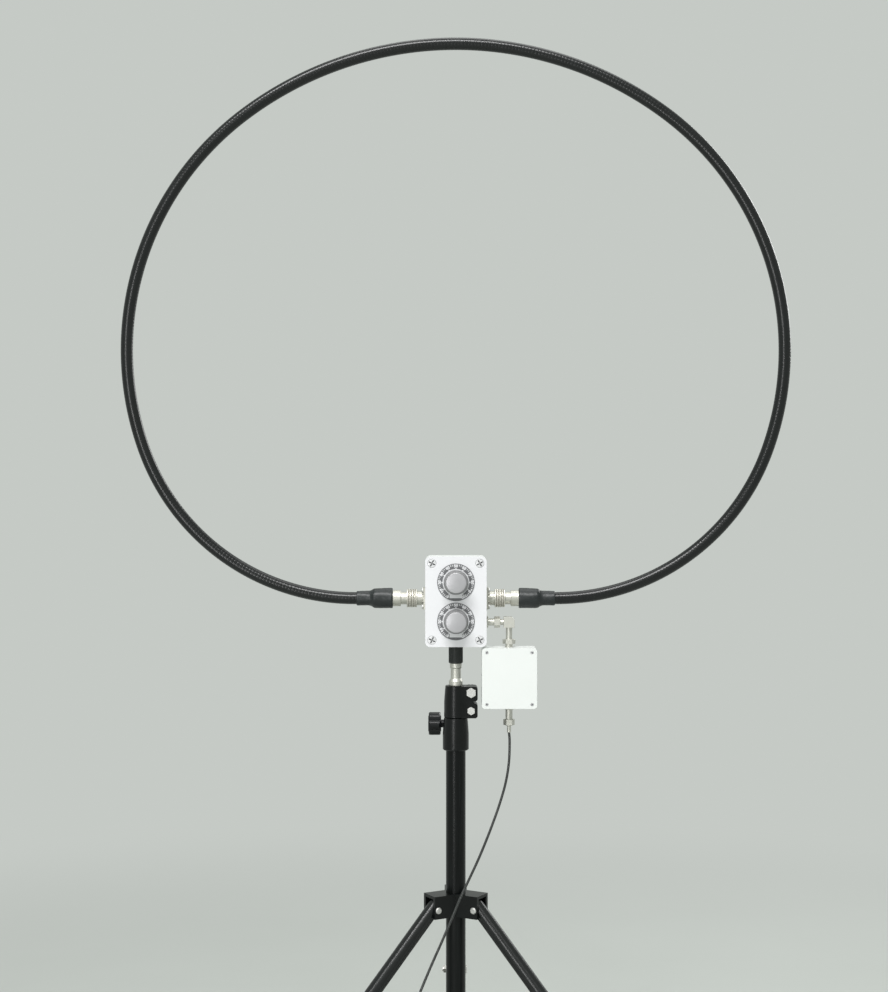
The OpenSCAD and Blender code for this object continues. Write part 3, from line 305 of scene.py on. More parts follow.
cast = Finish("cast_enamel", Specular_IOR_Level=0.26)
worn = cast.place.noise(70.0, 4.0)
cast.wear(Base_Color=worn.tint(ink(0.0015, 0.002, 0.002), ink(0.004, 0.005, 0.005)),
          Roughness=0.27 + 0.06 * worn)
for node, width in (("leg_hub", 1.2), ("brace_slider", 0.9), ("lower_collar", 1.0), ("upper_collar", 1.0)):
    eased(node, width, cast.material)

# The stand's pins and clamp bolts: bare steel with turned, slightly dulled faces. The pins carry the legs in
# the hub, and the bolts draw the collars tight.
steel = Finish("plain_steel", Metallic=1.0)
dull = steel.place.noise(500.0, 4.0, 0.6)
steel.wear(Base_Color=dull.tint(ink(0.52, 0.515, 0.50), ink(0.72, 0.715, 0.70)),
           Roughness=0.40 + 0.14 * dull,
           Normal=steel.place.noise(2400.0, 2.0).bump(0.08, 0.0002))
for node, width in (("hub_pins", 0.7), ("lower_collar_bolts", 0.6), ("upper_collar_bolts", 0.7)):
    eased(node, width, steel.material)

# The lock knobs: six-lobed grips of black moulded plastic on threaded studs. One screws into each collar, and
# one into the slider.
moulded = Finish("black_moulding", Specular_IOR_Level=0.25)
sheen = moulded.place.noise(800.0, 3.0)
moulded.wear(Base_Color=sheen.tint(ink(0.003, 0.004, 0.004), ink(0.009, 0.010, 0.011)),
             Roughness=0.30 + 0.10 * sheen,
             Normal=moulded.place.noise(3000.0, 2.0).bump(0.05, 0.0002))
for node, width in (("upper_lock_knob", 0.5), ("lower_lock_knob", 1.0), ("slider_knob", 0.9)):
    eased(node, width, moulded.material)

# The legs and braces: enamelled steel tube and pressed channel, with a bright bolt through each pair. The
# bolt belongs to the leg, and is what stands further out across it than the brace.
bolt_from, bolt_full = 8.6 * MM, 9.0 * MM
for side, bearing in (("left", 210), ("right", 330), ("rear", 90)):
    plan = math.radians(bearing)
    leg = Finish(side + "_leg_enamel", Specular_IOR_Level=0.46)
    across = leg.place.node("VectorMath", {"operation": "DOT_PRODUCT"},
                            {0: leg.place, 1: (-math.sin(plan), math.cos(plan), 0)}, out=1)
    bolt = across.size().rise(bolt_from, bolt_full)
    streak = leg.place.noise(300.0, 4.0)
    leg.wear(Base_Color=bolt.tint(streak.tint(ink(0.002, 0.0026, 0.0026), ink(0.006, 0.0075, 0.0075)),
                                  streak.tint(ink(0.50, 0.49, 0.46), ink(0.74, 0.73, 0.70))),
             Metallic=bolt,
             Roughness=0.22 + 0.04 * streak)
    eased(side + "_leg", 0.35, leg.material)
    eased(side + "_brace", 0.45, coat.material)

# The feet: boots of moulded black rubber with a dull bloom, pushed on the ends of the legs. Their soles lie
# flat on the floor.
rubber = Finish("foot_rubber", Specular_IOR_Level=0.3)
bloom = rubber.place.noise(200.0, 4.0)
rubber.wear(Base_Color=bloom.tint(ink(0.012, 0.012, 0.012), ink(0.030, 0.030, 0.030)),
            Roughness=0.6 + 0.2 * bloom,
            Normal=rubber.place.noise(1500.0, 3.0).bump(0.3, 0.0004))
for side in ("left", "right", "rear"):
    eased(side + "_foot", 1.2, rubber.material)

# The stud: turned steel in satin nickel, riveted into the top tube. It is waisted for the grub screw of
# whatever stands on it.
frosted = Finish("satin_nickel", Metallic=1.0)
breath = frosted.place.noise(220.0, 4.0)
frosted.wear(Base_Color=breath.tint(ink(0.54, 0.535, 0.49), ink(0.62, 0.615, 0.57)),
             Roughness=0.46 + 0.08 * breath)
eased("stud", 0.6, frosted.material)


# The mounting sleeve: a turned aluminium nut, anodised black, with a diamond grip cut round it. It carries
# the tuner box and turns on the stud's tip.
def turned(along, radius, origin, axis, sides):
    """A grid of a turned shape: circles of the given radii (a number or one for each side) up an axis."""
    axis = np.asarray(axis, float)
    side = np.cross(axis, (0, 0, 1) if abs(axis[2]) < 0.9 else (0, 1, 0))
    side /= np.linalg.norm(side)
    over = np.cross(axis, side)
    angle = np.linspace(0, 2 * np.pi, sides, endpoint=False)[None, :, None]
    radius = np.asarray(radius, float).reshape(len(along), -1, 1)
    return (np.asarray(origin, float) + np.asarray(along, float)[:, None, None] * axis
            + radius * (side * np.cos(angle) + over * np.sin(angle)))


def shell(name, grid, material, crease, ring=False):
    """A closed piece from a grid of circles. A ring joins its last circle to its first, others get caps."""
    rows, columns = grid.shape[:2]
    last = (rows - 1) * columns
    caps = [] if ring else [list(range(columns))[::-1], list(range(last, last + columns))]
    return put_in_scene(name, grid, grid_faces(rows, columns, ring=ring).tolist() + caps, material, crease)


anodised = Finish("black_anodised", Metallic=0.3)
film = anodised.place.noise(700.0, 3.0)
anodised.wear(Base_Color=film.tint(ink(0.010, 0.012, 0.011), ink(0.026, 0.030, 0.028)),
              Roughness=0.30 + 0.14 * film)
sleeve_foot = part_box("mount_sleeve")[0].z
sleeve_h, sleeve_r, sleeve_bore, sleeve_edge, sleeve_sides = 20.0, 8.0, 3.2, 0.8, 216
plain_rim, diamond_h, diamonds_round, groove_depth = 1.2, 1.5, 36, 0.55
sleeve_up = np.concatenate([[0, 0, 0.3, sleeve_edge, plain_rim], np.linspace(1.5, sleeve_h - 1.5, 69)])
sleeve_up = np.concatenate([sleeve_up, sleeve_h - sleeve_up[4::-1]])
rounding = np.interp(np.minimum(sleeve_up, sleeve_h - sleeve_up),
                     [0, 0.3, sleeve_edge], [sleeve_edge, 0.4, 0])
sleeve_base = sleeve_r - rounding
sleeve_base[[0, -1]] = sleeve_bore
diamonds = diamonds_round * np.linspace(0, 1, sleeve_sides, endpoint=False)[None, :]
climb = sleeve_up[:, None] / diamond_h
to_groove = np.minimum(np.abs((diamonds + climb) % 1 - 0.5), np.abs((diamonds - climb) % 1 - 0.5))
gripped = (np.clip((sleeve_up - plain_rim) / 0.4, 0, 1)
           * np.clip((sleeve_h - plain_rim - sleeve_up) / 0.4, 0, 1))
sleeve_shape = sleeve_base[:, None] - groove_depth * gripped[:, None] * np.maximum(0, 0.5 - 1.6 * to_groove)
sleeve_grid = turned(MM * sleeve_up, MM * sleeve_shape, (0, 0, sleeve_foot), (0, 0, 1), sleeve_sides)
sleeve = shell("grip_sleeve", sleeve_grid, anodised.material, 30, ring=True)
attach(sleeve, "head")
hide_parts("mount_sleeve")

# The tuner case: a cast aluminium box in smooth white enamel, its back edges rounded by the casting and the
# paint. It stands on the mounting sleeve.
white = Finish("white_enamel", Coat_Weight=0.15, Coat_Roughness=0.2)
grime = white.place.noise(35.0, 5.0, 0.6)
white.wear(Base_Color=grime.tint(ink(0.785, 0.81, 0.79), ink(0.815, 0.835, 0.82)),
           Roughness=0.34 + 0.10 * grime,
           Normal=white.place.noise(900.0, 2.0).bump(0.06, 0.0003))
eased("tuner_case", 1.2, white.material)

# The parts inside the tuner: two variable capacitors, whose frames and plates are bare aluminium, hung from
# the lid by their nuts, and a ferrite ring on the socket.
bare = Finish("bare_aluminium", Metallic=1.0)
brushed = bare.place.stretched(1, 1, 14).noise(700.0, 3.0)
bare.wear(Base_Color=brushed.tint(ink(0.62, 0.62, 0.63), ink(0.78, 0.78, 0.79)),
          Roughness=0.3 + 0.2 * brushed)
for node in ("capacitor_frames", "capacitor_stators", "upper_rotor", "lower_rotor"):
    dress(node, bare.material)
ferrite = Finish("ferrite")
sinter = ferrite.place.noise(1500.0, 4.0)
ferrite.wear(Base_Color=sinter.tint(ink(0.03, 0.03, 0.032), ink(0.07, 0.07, 0.072)),
             Roughness=0.6 + 0.2 * sinter)
dress("coupling_toroid", ferrite.material)

# The tuner lid: a flat plate in pale satin lacquer, with a faint lilac cast and a fine even grain. Four
# screws hold it on the case.
satin = Finish("pale_lacquer", Specular_IOR_Level=0.4)
grain = satin.place.noise(2200.0, 2.0)
satin.wear(Base_Color=satin.place.noise(25.0, 4.0).tint(ink(0.765, 0.765, 0.79), ink(0.795, 0.795, 0.815)),
           Roughness=0.36 + 0.08 * grain,
           Normal=grain.bump(0.06, 0.0002))
eased("tuner_lid", 0.6, satin.material)
lid_low, lid_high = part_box("tuner_lid")
lid_front = lid_low.y
box_z = (lid_low.z + lid_high.z) / 2


# The lid screws: pale countersunk heads with a cross recess, each driven to its own angle. Painted shade
# darkens the recess and the seam round the head.
def cross_heads(name, places, angles, head_r, arm, half_width, depth, material):
    """Screw heads facing -Y: a low dome over a polar grid, less a cross of two soft-edged slots.

    Sizes are in mm. The recess attribute is the painted shade: 1 in the slots, less at the rim,
    and 0 on the bare head."""
    radius = head_r * np.concatenate([np.linspace(0.004, 1, 48), [1.0]])[:, None]
    angle = np.linspace(0, 2 * np.pi, 120, endpoint=False)[None, :]
    u, v = radius * np.cos(angle), radius * np.sin(angle)
    edge = 0.25 * half_width

    def slot_mask(across, along):
        """1 in a slot and 0 outside it, with a straight slope over its edge."""
        return (np.clip((half_width + edge - np.abs(across)) / (2 * edge), 0, 1)
                * np.clip((arm + edge - np.abs(along)) / (2 * edge), 0, 1))

    recess = np.maximum(slot_mask(u, v), slot_mask(v, u)) * np.clip(0.45 + radius / arm, 0, 1)
    seam = np.broadcast_to(np.clip((radius / head_r - 0.87) / 0.04, 0, 1), u.shape)
    dome = 0.05 * head_r * (1 - (radius / head_r)**2)
    height = dome - depth * recess * np.clip(1.1 - 0.5 * radius / arm, 0, 1) - 0.06 * head_r * seam
    height[-1] -= 0.5
    turns = [(math.cos(spin), math.sin(spin)) for spin in angles]
    heads = [np.stack([x + MM * (c * u - s * v), y - MM * height, z + MM * (s * u + c * v)], -1)
             for (x, y, z), (c, s) in zip(places, turns)]
    faces = [grid_faces(*u.shape, first=i * u.size)[:, ::-1] for i in range(len(heads))]
    made = put_in_scene(name, np.stack(heads), np.concatenate(faces).tolist(), material, 60)
    # Painted shade: the slots and the seam round the head are darkened through the recess attribute.
    painted_shade = np.maximum(recess, 0.75 * seam).ravel().astype(np.float32)
    shade_attribute = made.data.attributes.new("recess", "FLOAT", "POINT")
    shade_attribute.data.foreach_set("value", np.tile(painted_shade, len(heads)))
    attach(made, "head")
    return made


zinc = Finish("zinc_screws", Metallic=0.25)
# The recess attribute darkens the zinc to near black as painted shade in the slots and the seam.
recess_shade = zinc.place.node("Attribute", {"attribute_name": "recess"}, {}, out=2)
zinc.wear(Base_Color=recess_shade.tint(ink(0.72, 0.72, 0.73), ink(0.07, 0.072, 0.076)),
          Roughness=0.34 + 0.3 * recess_shade,
          Normal=zinc.place.noise(2500.0, 2.0).bump(0.08, 0.0002))
screw_x, screw_z = 26.5 * MM, 42.5 * MM
head_at = [(x, lid_front, box_z + z) for x in (-screw_x, screw_x) for z in (-screw_z, screw_z)]
lid_heads = cross_heads("lid_screw_heads", head_at, (1.12, 1.10, 0.45, 0.52),
                        head_r=5.08, arm=3.7, half_width=0.60, depth=1.5, material=zinc.material)
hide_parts("lid_screws")

# The dial plates: thin pale discs with a dark printed scale band out to the edge. Each tenth has a pale
# pointed mark and a number, with fine marks between, and a blank pale window breaks the band below the knob.
dial_pitch = 43.3 * MM
scale_half, tenth, fine_step = 150.0, 30.0, 6.0
band_in, fine_in, fine_out, crisp = 14.8 * MM, 17.8 * MM, 20.0 * MM, 0.1 * MM
mark_half, mark_long = 3.6, 1.6 * MM
window_half, window_top, window_foot = 7.0 * MM, -12.5 * MM, -17.5 * MM


def from_dial(place):
    """The distance from the nearer dial's centre, and the offsets to the right of it and above it."""
    right, _, up = place.axes()
    above = up - box_z
    above = above - above.math("SIGN", above) * (dial_pitch / 2)
    return right.math("SQRT", right * right + above * above), right, above


dial = Finish("printed_dial", Specular_IOR_Level=0.4)
dial_r, dial_right, dial_above = from_dial(dial.place)
dial_turn = dial_right.math("ARCTAN2", dial_right, dial_above) * (180 / math.pi)
to_tenth = dial_turn.math("PINGPONG", dial_turn, tenth / 2)
to_fine = dial_turn.math("PINGPONG", dial_turn, fine_step / 2)
on_scale = 1 - dial_turn.size().rise(scale_half + 2, scale_half + 3)
pointed = (to_tenth + (dial_r - band_in) * (mark_half / mark_long)).rise(mark_half - 0.3, mark_half + 0.3)
fine = ((1 - to_fine.rise(0.9, 1.3)) * dial_r.rise(fine_in, fine_in + crisp)
        * (1 - dial_r.rise(fine_out - crisp, fine_out)) * to_tenth.rise(5.0, 5.2))
marked = on_scale * (1 - (1 - fine) * pointed)
window = ((1 - dial_right.size().rise(window_half - crisp, window_half + crisp))
          * (1 - dial_above.rise(window_top - crisp, window_top + crisp))
          * dial_above.rise(window_foot - crisp, window_foot + crisp))
printed = dial_r.rise(band_in - crisp, band_in + crisp) * (1 - marked) * (1 - window)
speck = dial.place.noise(1500.0, 3.0)
dial.wear(Base_Color=printed.tint(speck.tint(ink(0.70, 0.70, 0.72), ink(0.76, 0.76, 0.78)),
                                  speck.tint(ink(0.10, 0.102, 0.108), ink(0.18, 0.182, 0.19))),
          Roughness=0.36 + 0.10 * speck,
          Normal=speck.bump(0.05, 0.0002))
eased("dial_plates", 0.2, dial.material)

# The dial numbers: a plain scale from 0 to 100, printed in pale ink on both plates. They stand round the band
# with their feet inwards.
pale_ink = Finish("pale_ink")
pale_ink.wear(Base_Color=pale_ink.place.noise(900.0).tint(ink(0.68, 0.68, 0.70), ink(0.76, 0.76, 0.78)),
              Roughness=0.4 + 0.1 * pale_ink.place.noise(1200.0))
number_r, number_h, number_bold, ink_lift = 18.0, 4.2, 0.28, 0.05
number_points, number_faces = [], []
dial_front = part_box("dial_plates")[0].y
for number in range(0, 101, 10):
    curve = bpy.data.curves.new("number", "FONT")
    curve.body = str(number)
    curve.size = number_h
    curve.offset = number_bold
    curve.align_x = "CENTER"
    curve.align_y = "CENTER"
    curve.resolution_u = 3
    holder = bpy.data.objects.new("number", curve)
    bpy.context.scene.collection.objects.link(holder)
    shape = bpy.data.meshes.new_from_object(holder)
    flat = np.empty(len(shape.vertices) * 3, np.float32)
    shape.vertices.foreach_get("co", flat)
    right, up = flat.reshape(-1, 3)[:, 0], flat.reshape(-1, 3)[:, 1] + number_r
    spin = math.radians(-scale_half + tenth * number / 10)
    for side in (-1, 1):
        x = right * math.cos(spin) + up * math.sin(spin)
        z = up * math.cos(spin) - right * math.sin(spin)
        y = np.full(len(x), dial_front - ink_lift * MM)
        first = len(number_points)
        number_points += np.stack([MM * x, y, box_z + side * dial_pitch / 2 + MM * z], -1).tolist()
        number_faces += [[first + v for v in face.vertices] for face in shape.polygons]
    bpy.data.objects.remove(holder)
    bpy.data.meshes.remove(shape)
numbers = put_in_scene("dial_numbers", number_points, number_faces, pale_ink.material)
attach(numbers, "head")

# The tuning knobs: grey moulded plastic with a low skirt and a finely fluted grip, on the capacitor's shaft.
# A hexagon nut under each holds the capacitor to the lid. The grip's outline gives height, then radius.
eased("panel_nuts", 0.3, steel.material)
grey = Finish("knob_moulding", Specular_IOR_Level=0.4)
touched = grey.place.noise(600.0, 3.0)
grey.wear(Base_Color=touched.tint(ink(0.20, 0.20, 0.205), ink(0.28, 0.28, 0.285)),
          Roughness=0.40 + 0.12 * touched,
          Normal=grey.place.noise(3000.0, 2.0).bump(0.06, 0.0002))
knob_gap, flute_count, flute_depth, grip_sides = 0.4, 40, 0.34, 240
grip_at, grip_r = np.array([
    (3.3, 3.1), (0, 7.9), (0, 13.1), (0.3, 13.5), (0.7, 13.6), (2.5, 13.6), (3.0, 13.3), (3.4, 13.0),
    (4.4, 12.8), (6.0, 12.75), (8.0, 12.68), (10.0, 12.6), (12.0, 12.55), (14.0, 12.48), (15.2, 12.4),
    (15.7, 12.2), (16.0, 11.8), (16.0, 11.3), (14.6, 11.25), (14.6, 3.1)]).T
fluted = np.clip((grip_at - 3.6) / 1.0, 0, 1) * np.clip((15.6 - grip_at) / 0.8, 0, 1) * (grip_r > 12)
flute = (0.5 + 0.5 * np.cos(flute_count * np.linspace(0, 2 * np.pi, grip_sides, endpoint=False)))**2
grip_shape = grip_r[:, None] - flute_depth * fluted[:, None] * flute[None, :]
knob_at = {level: (0, dial_front - knob_gap * MM, box_z + side * dial_pitch / 2)
           for level, side in (("upper", 1), ("lower", -1))}
for level, centre in knob_at.items():
    grip = shell(level + "_grip", turned(MM * grip_at, MM * grip_shape, centre, (0, -1, 0), grip_sides),
                 grey.material, 50, ring=True)
    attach(grip, "tuning_" + level)
    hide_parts(level + "_knob")

# The knob caps: spun aluminium discs, slightly domed and pressed into the grip. The tool leaves fine rings,
# and handling a faint haze.
spun = Finish("spun_aluminium", Metallic=0.25)
ring_waves = 16000.0
spun_r, _, _ = from_dial(spun.place)
rings = 0.5 + 0.5 * spun_r.math("SINE", spun_r * ring_waves)
haze = spun.place.noise(160.0, 4.0)
spun.wear(Base_Color=haze.tint(ink(0.40, 0.395, 0.41), ink(0.46, 0.455, 0.47)),
          Roughness=0.34 + 0.05 * rings,
          Normal=(rings + 0.5 * spun.place.noise(2000.0)).bump(0.05, 0.0001))
cap_front, cap_dome = 17.6, 60.0
dome_r = np.linspace(10.6, 0.05, 14)
cap_r = np.concatenate([[11.15, 11.18, 11.18, 11.0], dome_r])
cap_at = np.concatenate([[14.65, 16.0, 16.3, 16.58], cap_front - cap_dome + np.sqrt(cap_dome**2 - dome_r**2)])
for level, centre in knob_at.items():
    cap = shell(level + "_cap", turned(MM * cap_at, MM * cap_r, centre, (0, -1, 0), 96), spun.material, 50)
    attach(cap, "tuning_" + level)
    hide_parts(level + "_knob_cap")

# The loop's sockets and plugs: turned brass in bright nickel plate with a warm tone. Each socket is screwed
# to the case by a square flange, and a plug is fixed on each end of the cable.
plated = Finish("nickel_plate", Metallic=1.0)
smear = plated.place.noise(220.0, 4.0)
plated.wear(Base_Color=smear.tint(ink(0.50, 0.49, 0.44), ink(0.60, 0.59, 0.54)),
            Roughness=0.36 + 0.10 * smear)
for node, width in (("loop_sockets", 0.3), ("loop_plugs", 0.35)):
    eased(node, width, plated.material)
eased("socket_screws", 0.5, steel.material)
plug_z = sum(corner.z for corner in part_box("loop_plugs")) / 2

# The coupling nuts: plated sleeves that pull each plug onto its socket. The grip is a row of turned rings
# with faint teeth across them, between plain rims, and its grooves are darkened with painted shade.
nut_from, nut_to, nut_r, nut_bore, nut_neck = 43.5, 54.8, 10.25, 8.25, 7.25
ring_pitch, ring_depth, first_ring = 1.88, 0.55, nut_from + 1.94
tooth_count, tooth_depth = 54, 0.14
band_at = np.linspace(nut_from + 1.0, nut_to - 0.9, 73)
band_r = nut_r - ring_depth * (0.5 + 0.5 * np.cos(2 * np.pi * (band_at - first_ring) / ring_pitch))**2
nut_at = np.concatenate([[nut_from, nut_from, nut_from + 0.3], band_at,
                         [nut_to - 0.3, nut_to, nut_to, nut_to - 0.9, nut_to - 0.9]])
nut_line = np.concatenate([[nut_bore, nut_r - 0.5, nut_r - 0.1], band_r,
                           [nut_r - 0.1, nut_r - 0.5, nut_neck, nut_neck, nut_bore]])
tooth = np.tile(np.abs(np.linspace(-1, 1, 4, endpoint=False)), tooth_count)
toothed = np.concatenate([np.zeros(3), np.full(band_at.size, tooth_depth), np.zeros(5)])
nut_shape = nut_line[:, None] - toothed[:, None] * tooth[None, :]
ringed = Finish("ringed_nickel", Metallic=1.0)
ringed_x, _, _ = ringed.place.axes()
from_first = (ringed_x.size() - first_ring * MM) * (1 / (ring_pitch * MM))
off_groove = from_first.math("PINGPONG", from_first, 0.5)
on_grip = from_first.rise(-0.55, -0.45) * (1 - from_first.rise(4.4, 4.5))
# Painted shade: the plating is darkened in the grooves between the grip's rings.
groove_shade = on_grip * (1 - off_groove.rise(0.08, 0.26))
ringed.wear(Base_Color=groove_shade.tint(ink(0.68, 0.66, 0.60), ink(0.26, 0.24, 0.21)),
            Roughness=0.42 + 0.2 * groove_shade)
for side, way in (("left", -1), ("right", 1)):
    nut = shell(side + "_nut", turned(MM * nut_at, MM * nut_shape, (0, 0, plug_z), (way, 0, 0), tooth.size),
                ringed.material, 35, ring=True)
    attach(nut, "nut_" + side)
    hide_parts(side + "_coupling_nut")

# The boots: thick heat-shrink sleeve over each cable plug, drawn down to the cable. It is matt grey-black,
# with the plug's edges under it and the lumps of uneven shrinking. The outline gives distance, then radius.
shrink = Finish("shrunk_rubber", Specular_IOR_Level=0.5)
chalk = shrink.place.noise(150.0, 4.0)
shrink.wear(Base_Color=chalk.tint(ink(0.004, 0.006, 0.006), ink(0.014, 0.019, 0.020)),
            Roughness=0.38 + 0.08 * chalk,
            Normal=shrink.place.noise(140.0, 2.0).bump(0.25, 0.0008))
boot_at, boot_r = np.array([
    (70.5, 9.1), (70.52, 10.7), (70.8, 11.3), (71.6, 11.58), (75, 11.55), (79, 11.5), (84, 11.4), (88, 11.3),
    (91, 11.1), (92.6, 10.5), (94, 9.4), (95.6, 8.75), (97.5, 8.45), (101, 8.4), (106, 8.35), (109.6, 8.3),
    (110.6, 8.1), (110.98, 7.7), (111.0, 6.9)]).T
boot_sides = 48
boot_along = np.interp(np.linspace(0, boot_at.size - 1, 73), np.arange(boot_at.size), boot_at)
boot_line = np.interp(boot_along, boot_at, boot_r)[:, None]
round_boot = np.linspace(0, 2 * np.pi, boot_sides, endpoint=False)[None, :]
lumps = (0.14 * np.sin(3 * round_boot + 0.25 * boot_along[:, None])
         + 0.10 * np.sin(5 * round_boot - 0.55 * boot_along[:, None]) * np.sin(0.45 * boot_along[:, None]))
boot_shape = boot_line + (lumps - 0.2) * np.clip((boot_line - 7) / 1.5, 0, 1)
for side, way in (("left", -1), ("right", 1)):
    boot_grid = turned(MM * boot_along, MM * boot_shape, (0, 0, plug_z), (way, 0, 0), boot_sides)
    boot = shell(side + "_boot", boot_grid, shrink.material, 55)
    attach(boot, "head")
    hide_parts("cable_boots")

# The loop: half-inch coaxial cable with a corrugated outer conductor. Its glossy black jacket follows the
# corrugations as close rings, and its own stiffness holds the bend from plug to plug. Each side is a straight
# and three tangent arcs, whose radii follow from the loop's size and the turns of the lower two arcs.
loop_half, loop_h = 737 * MM / 2, 621 * MM
bottom_turn, side_turn = math.radians(70), math.radians(73)
top_turn = math.pi - bottom_turn - side_turn
lead_in, arc_x = 70.5 * MM, 113 * MM
side_sin, side_cos = math.sin(bottom_turn), math.cos(bottom_turn)
top_sin, top_cos = math.sin(bottom_turn + side_turn), math.cos(bottom_turn + side_turn)
side_r = ((loop_h - (loop_half - arc_x) * (1 - side_cos) / side_sin - loop_half * (1 + top_cos) / top_sin)
          / (side_cos - top_cos - (1 - side_sin) * (1 - side_cos) / side_sin
             - (1 - top_sin) * (1 + top_cos) / top_sin))
bottom_r = (loop_half - arc_x - side_r * (1 - side_sin)) / side_sin
top_r = (loop_half - side_r * (1 - top_sin)) / top_sin
bottom_c = np.array([arc_x, bottom_r])
side_c = bottom_c + (bottom_r - side_r) * np.array([side_sin, -side_cos])
top_c = side_c + (side_r - top_r) * np.array([top_sin, -top_cos])
arcs_end = np.cumsum([arc_x - lead_in, bottom_r * bottom_turn, side_r * side_turn, top_r * top_turn])


def loop_line(length):
    """Points of the loop by length from the right plug: straight, then three tangent arcs, then mirrored."""
    short = np.minimum(length, 2 * arcs_end[3] - length)
    heading = np.interp(short, np.concatenate([[0], arcs_end]),
                        [0, 0, bottom_turn, bottom_turn + side_turn, math.pi])
    stage = np.searchsorted(arcs_end[:3], short)
    centre = np.array([bottom_c, bottom_c, side_c, top_c])[stage]
    bend = np.array([bottom_r, bottom_r, side_r, top_r])[stage]
    x = centre[:, 0] + bend * np.sin(heading) + np.where(stage == 0, short - arcs_end[0], 0)
    z = centre[:, 1] - bend * np.cos(heading)
    return np.stack([np.where(length > arcs_end[3], -x, x), 0 * x, plug_z + z], -1)


def swept(path, radius, sides, up):
    """A tube's grid: round each path point, a circle of the given radius in the plane square to the path.

    Each circle begins on the side that is square to up as well."""
    along = np.gradient(path, axis=0)
    along /= np.linalg.norm(along, axis=1, keepdims=True)
    side = np.cross(along, up)
    side /= np.linalg.norm(side, axis=1, keepdims=True)
    over = np.cross(along, side)
    angle = np.linspace(0, 2 * np.pi, sides, endpoint=False)[None, :, None]
    radius = np.broadcast_to(np.asarray(radius, float).reshape(-1, 1, 1), (len(path), 1, 1))
    return path[:, None, :] + radius * (side[:, None, :] * np.cos(angle) + over[:, None, :] * np.sin(angle))


rib_pitch, rib_steps = 3.8 * MM, 8
groove_r, rib_height = 6.78, 0.10
rib_count = round(2 * arcs_end[3] / rib_pitch)
station = np.linspace(0, 2 * arcs_end[3], rib_steps * rib_count + 1)
ridge = 1 - np.abs(2 * (np.arange(len(station)) % rib_steps) / rib_steps - 1)**4
gloss = Finish("cable_jacket", Specular_IOR_Level=0.42)
dust = gloss.place.noise(60.0, 5.0, 0.6)
gloss.wear(Base_Color=dust.tint(ink(0.0015, 0.0022, 0.0022), ink(0.005, 0.0065, 0.0065)),
           Roughness=0.25 + 0.06 * dust)
loop_grid = swept(loop_line(station), MM * (groove_r + rib_height * ridge), 20, (0, 1, 0))
loop = shell("loop", loop_grid, gloss.material, 80)
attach(loop, "head")
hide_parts("loop_cable")

# The feed fittings: a threaded socket, a right-angle elbow with its nut, and the lead's plug with its own,
# all turned brass in the stud's satin nickel.
for node, width in (("feed_socket", 0.25), ("elbow", 0.7), ("elbow_nut", 0.35), ("match_sockets", 0.3),
                    ("lead_plug", 0.3), ("lead_plug_nut", 0.35)):
    eased(node, width, frosted.material)

# The matching box: a smaller moulded case and lid in the same white, with four small screws. Inside are a
# green board and a ring wound with enamelled copper.
eased("match_case", 1.0, white.material)
eased("match_lid", 0.9, white.material)
match_low, match_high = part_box("match_screws")
match_head_r = 1.8
match_at = [(x, match_low.y, z) for x in (match_low.x + match_head_r * MM, match_high.x - match_head_r * MM)
            for z in (match_low.z + match_head_r * MM, match_high.z - match_head_r * MM)]
match_heads = cross_heads("match_screw_heads", match_at, (0.4, 1.0, 0.7, 0.2), head_r=match_head_r - 0.02,
                          arm=1.2, half_width=0.42, depth=0.7, material=zinc.material)
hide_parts("match_screws")
mask_green = Finish("green_board", Coat_Weight=0.3)
glass_weave = mask_green.place.noise(1200.0, 2.0)
mask_green.wear(Base_Color=glass_weave.tint(ink(0.02, 0.10, 0.05), ink(0.03, 0.16, 0.08)),
                Roughness=0.35 + 0.1 * glass_weave)
dress("match_board", mask_green.material)
copper = Finish("wound_copper", Metallic=0.9)
strand = copper.place.noise(900.0, 3.0)
copper.wear(Base_Color=strand.tint(ink(0.45, 0.18, 0.08), ink(0.65, 0.32, 0.16)),
            Roughness=0.3 + 0.2 * strand)
dress("match_toroid", copper.material)

# The plug on the lead's far end: turned brass, plated like the loop's plugs, with a coupling nut round a
# hollow front. It lies by the coil.
far_plug = eased("far_plug", 0.4, plated.material)

# The coil tie: a strap of black hook tape, wrapped round one side of the coil to hold its turns together. Its
# thin section goes round a squarish ring.
strap = Finish("hook_tape", Specular_IOR_Level=0.2)
loops = strap.place.noise(3500.0, 2.0)
strap.wear(Base_Color=loops.tint(ink(0.010, 0.010, 0.011), ink(0.035, 0.035, 0.038)),
           Roughness=0.75 + 0.15 * loops,
           Normal=loops.bump(0.6, 0.0006))
tie_low, tie_high = (np.array(corner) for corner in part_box("coil_tie"))
tie_mid, tie_half = (tie_low + tie_high) / 2, (tie_high - tie_low) / 2
squarish = 0.35
wrap = np.linspace(0, 2 * np.pi, 96, endpoint=False)[:, None]
wrap_x = np.sign(np.cos(wrap)) * np.abs(np.cos(wrap))**squarish
wrap_z = np.sign(np.sin(wrap)) * np.abs(np.sin(wrap))**squarish
strap_y = np.array([[-1, -1, -0.9, 0.9, 1, 1, 0.9, -0.9]])
strap_in = MM * np.array([[0.7, 0.2, 0, 0, 0.2, 0.7, 0.9, 0.9]])
tie_grid = np.stack([tie_mid[0] + wrap_x * (tie_half[0] - strap_in),
                     tie_mid[1] + 0 * wrap_x + tie_half[1] * strap_y,
                     tie_mid[2] + wrap_z * (tie_half[2] - strap_in)], -1)
tie_faces = grid_faces(*tie_grid.shape[:2], ring=True)[:, ::-1].tolist()
tie = put_in_scene("tie_strap", tie_grid, tie_faces, strap.material, 50)
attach(tie, "column")
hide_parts("coil_tie")
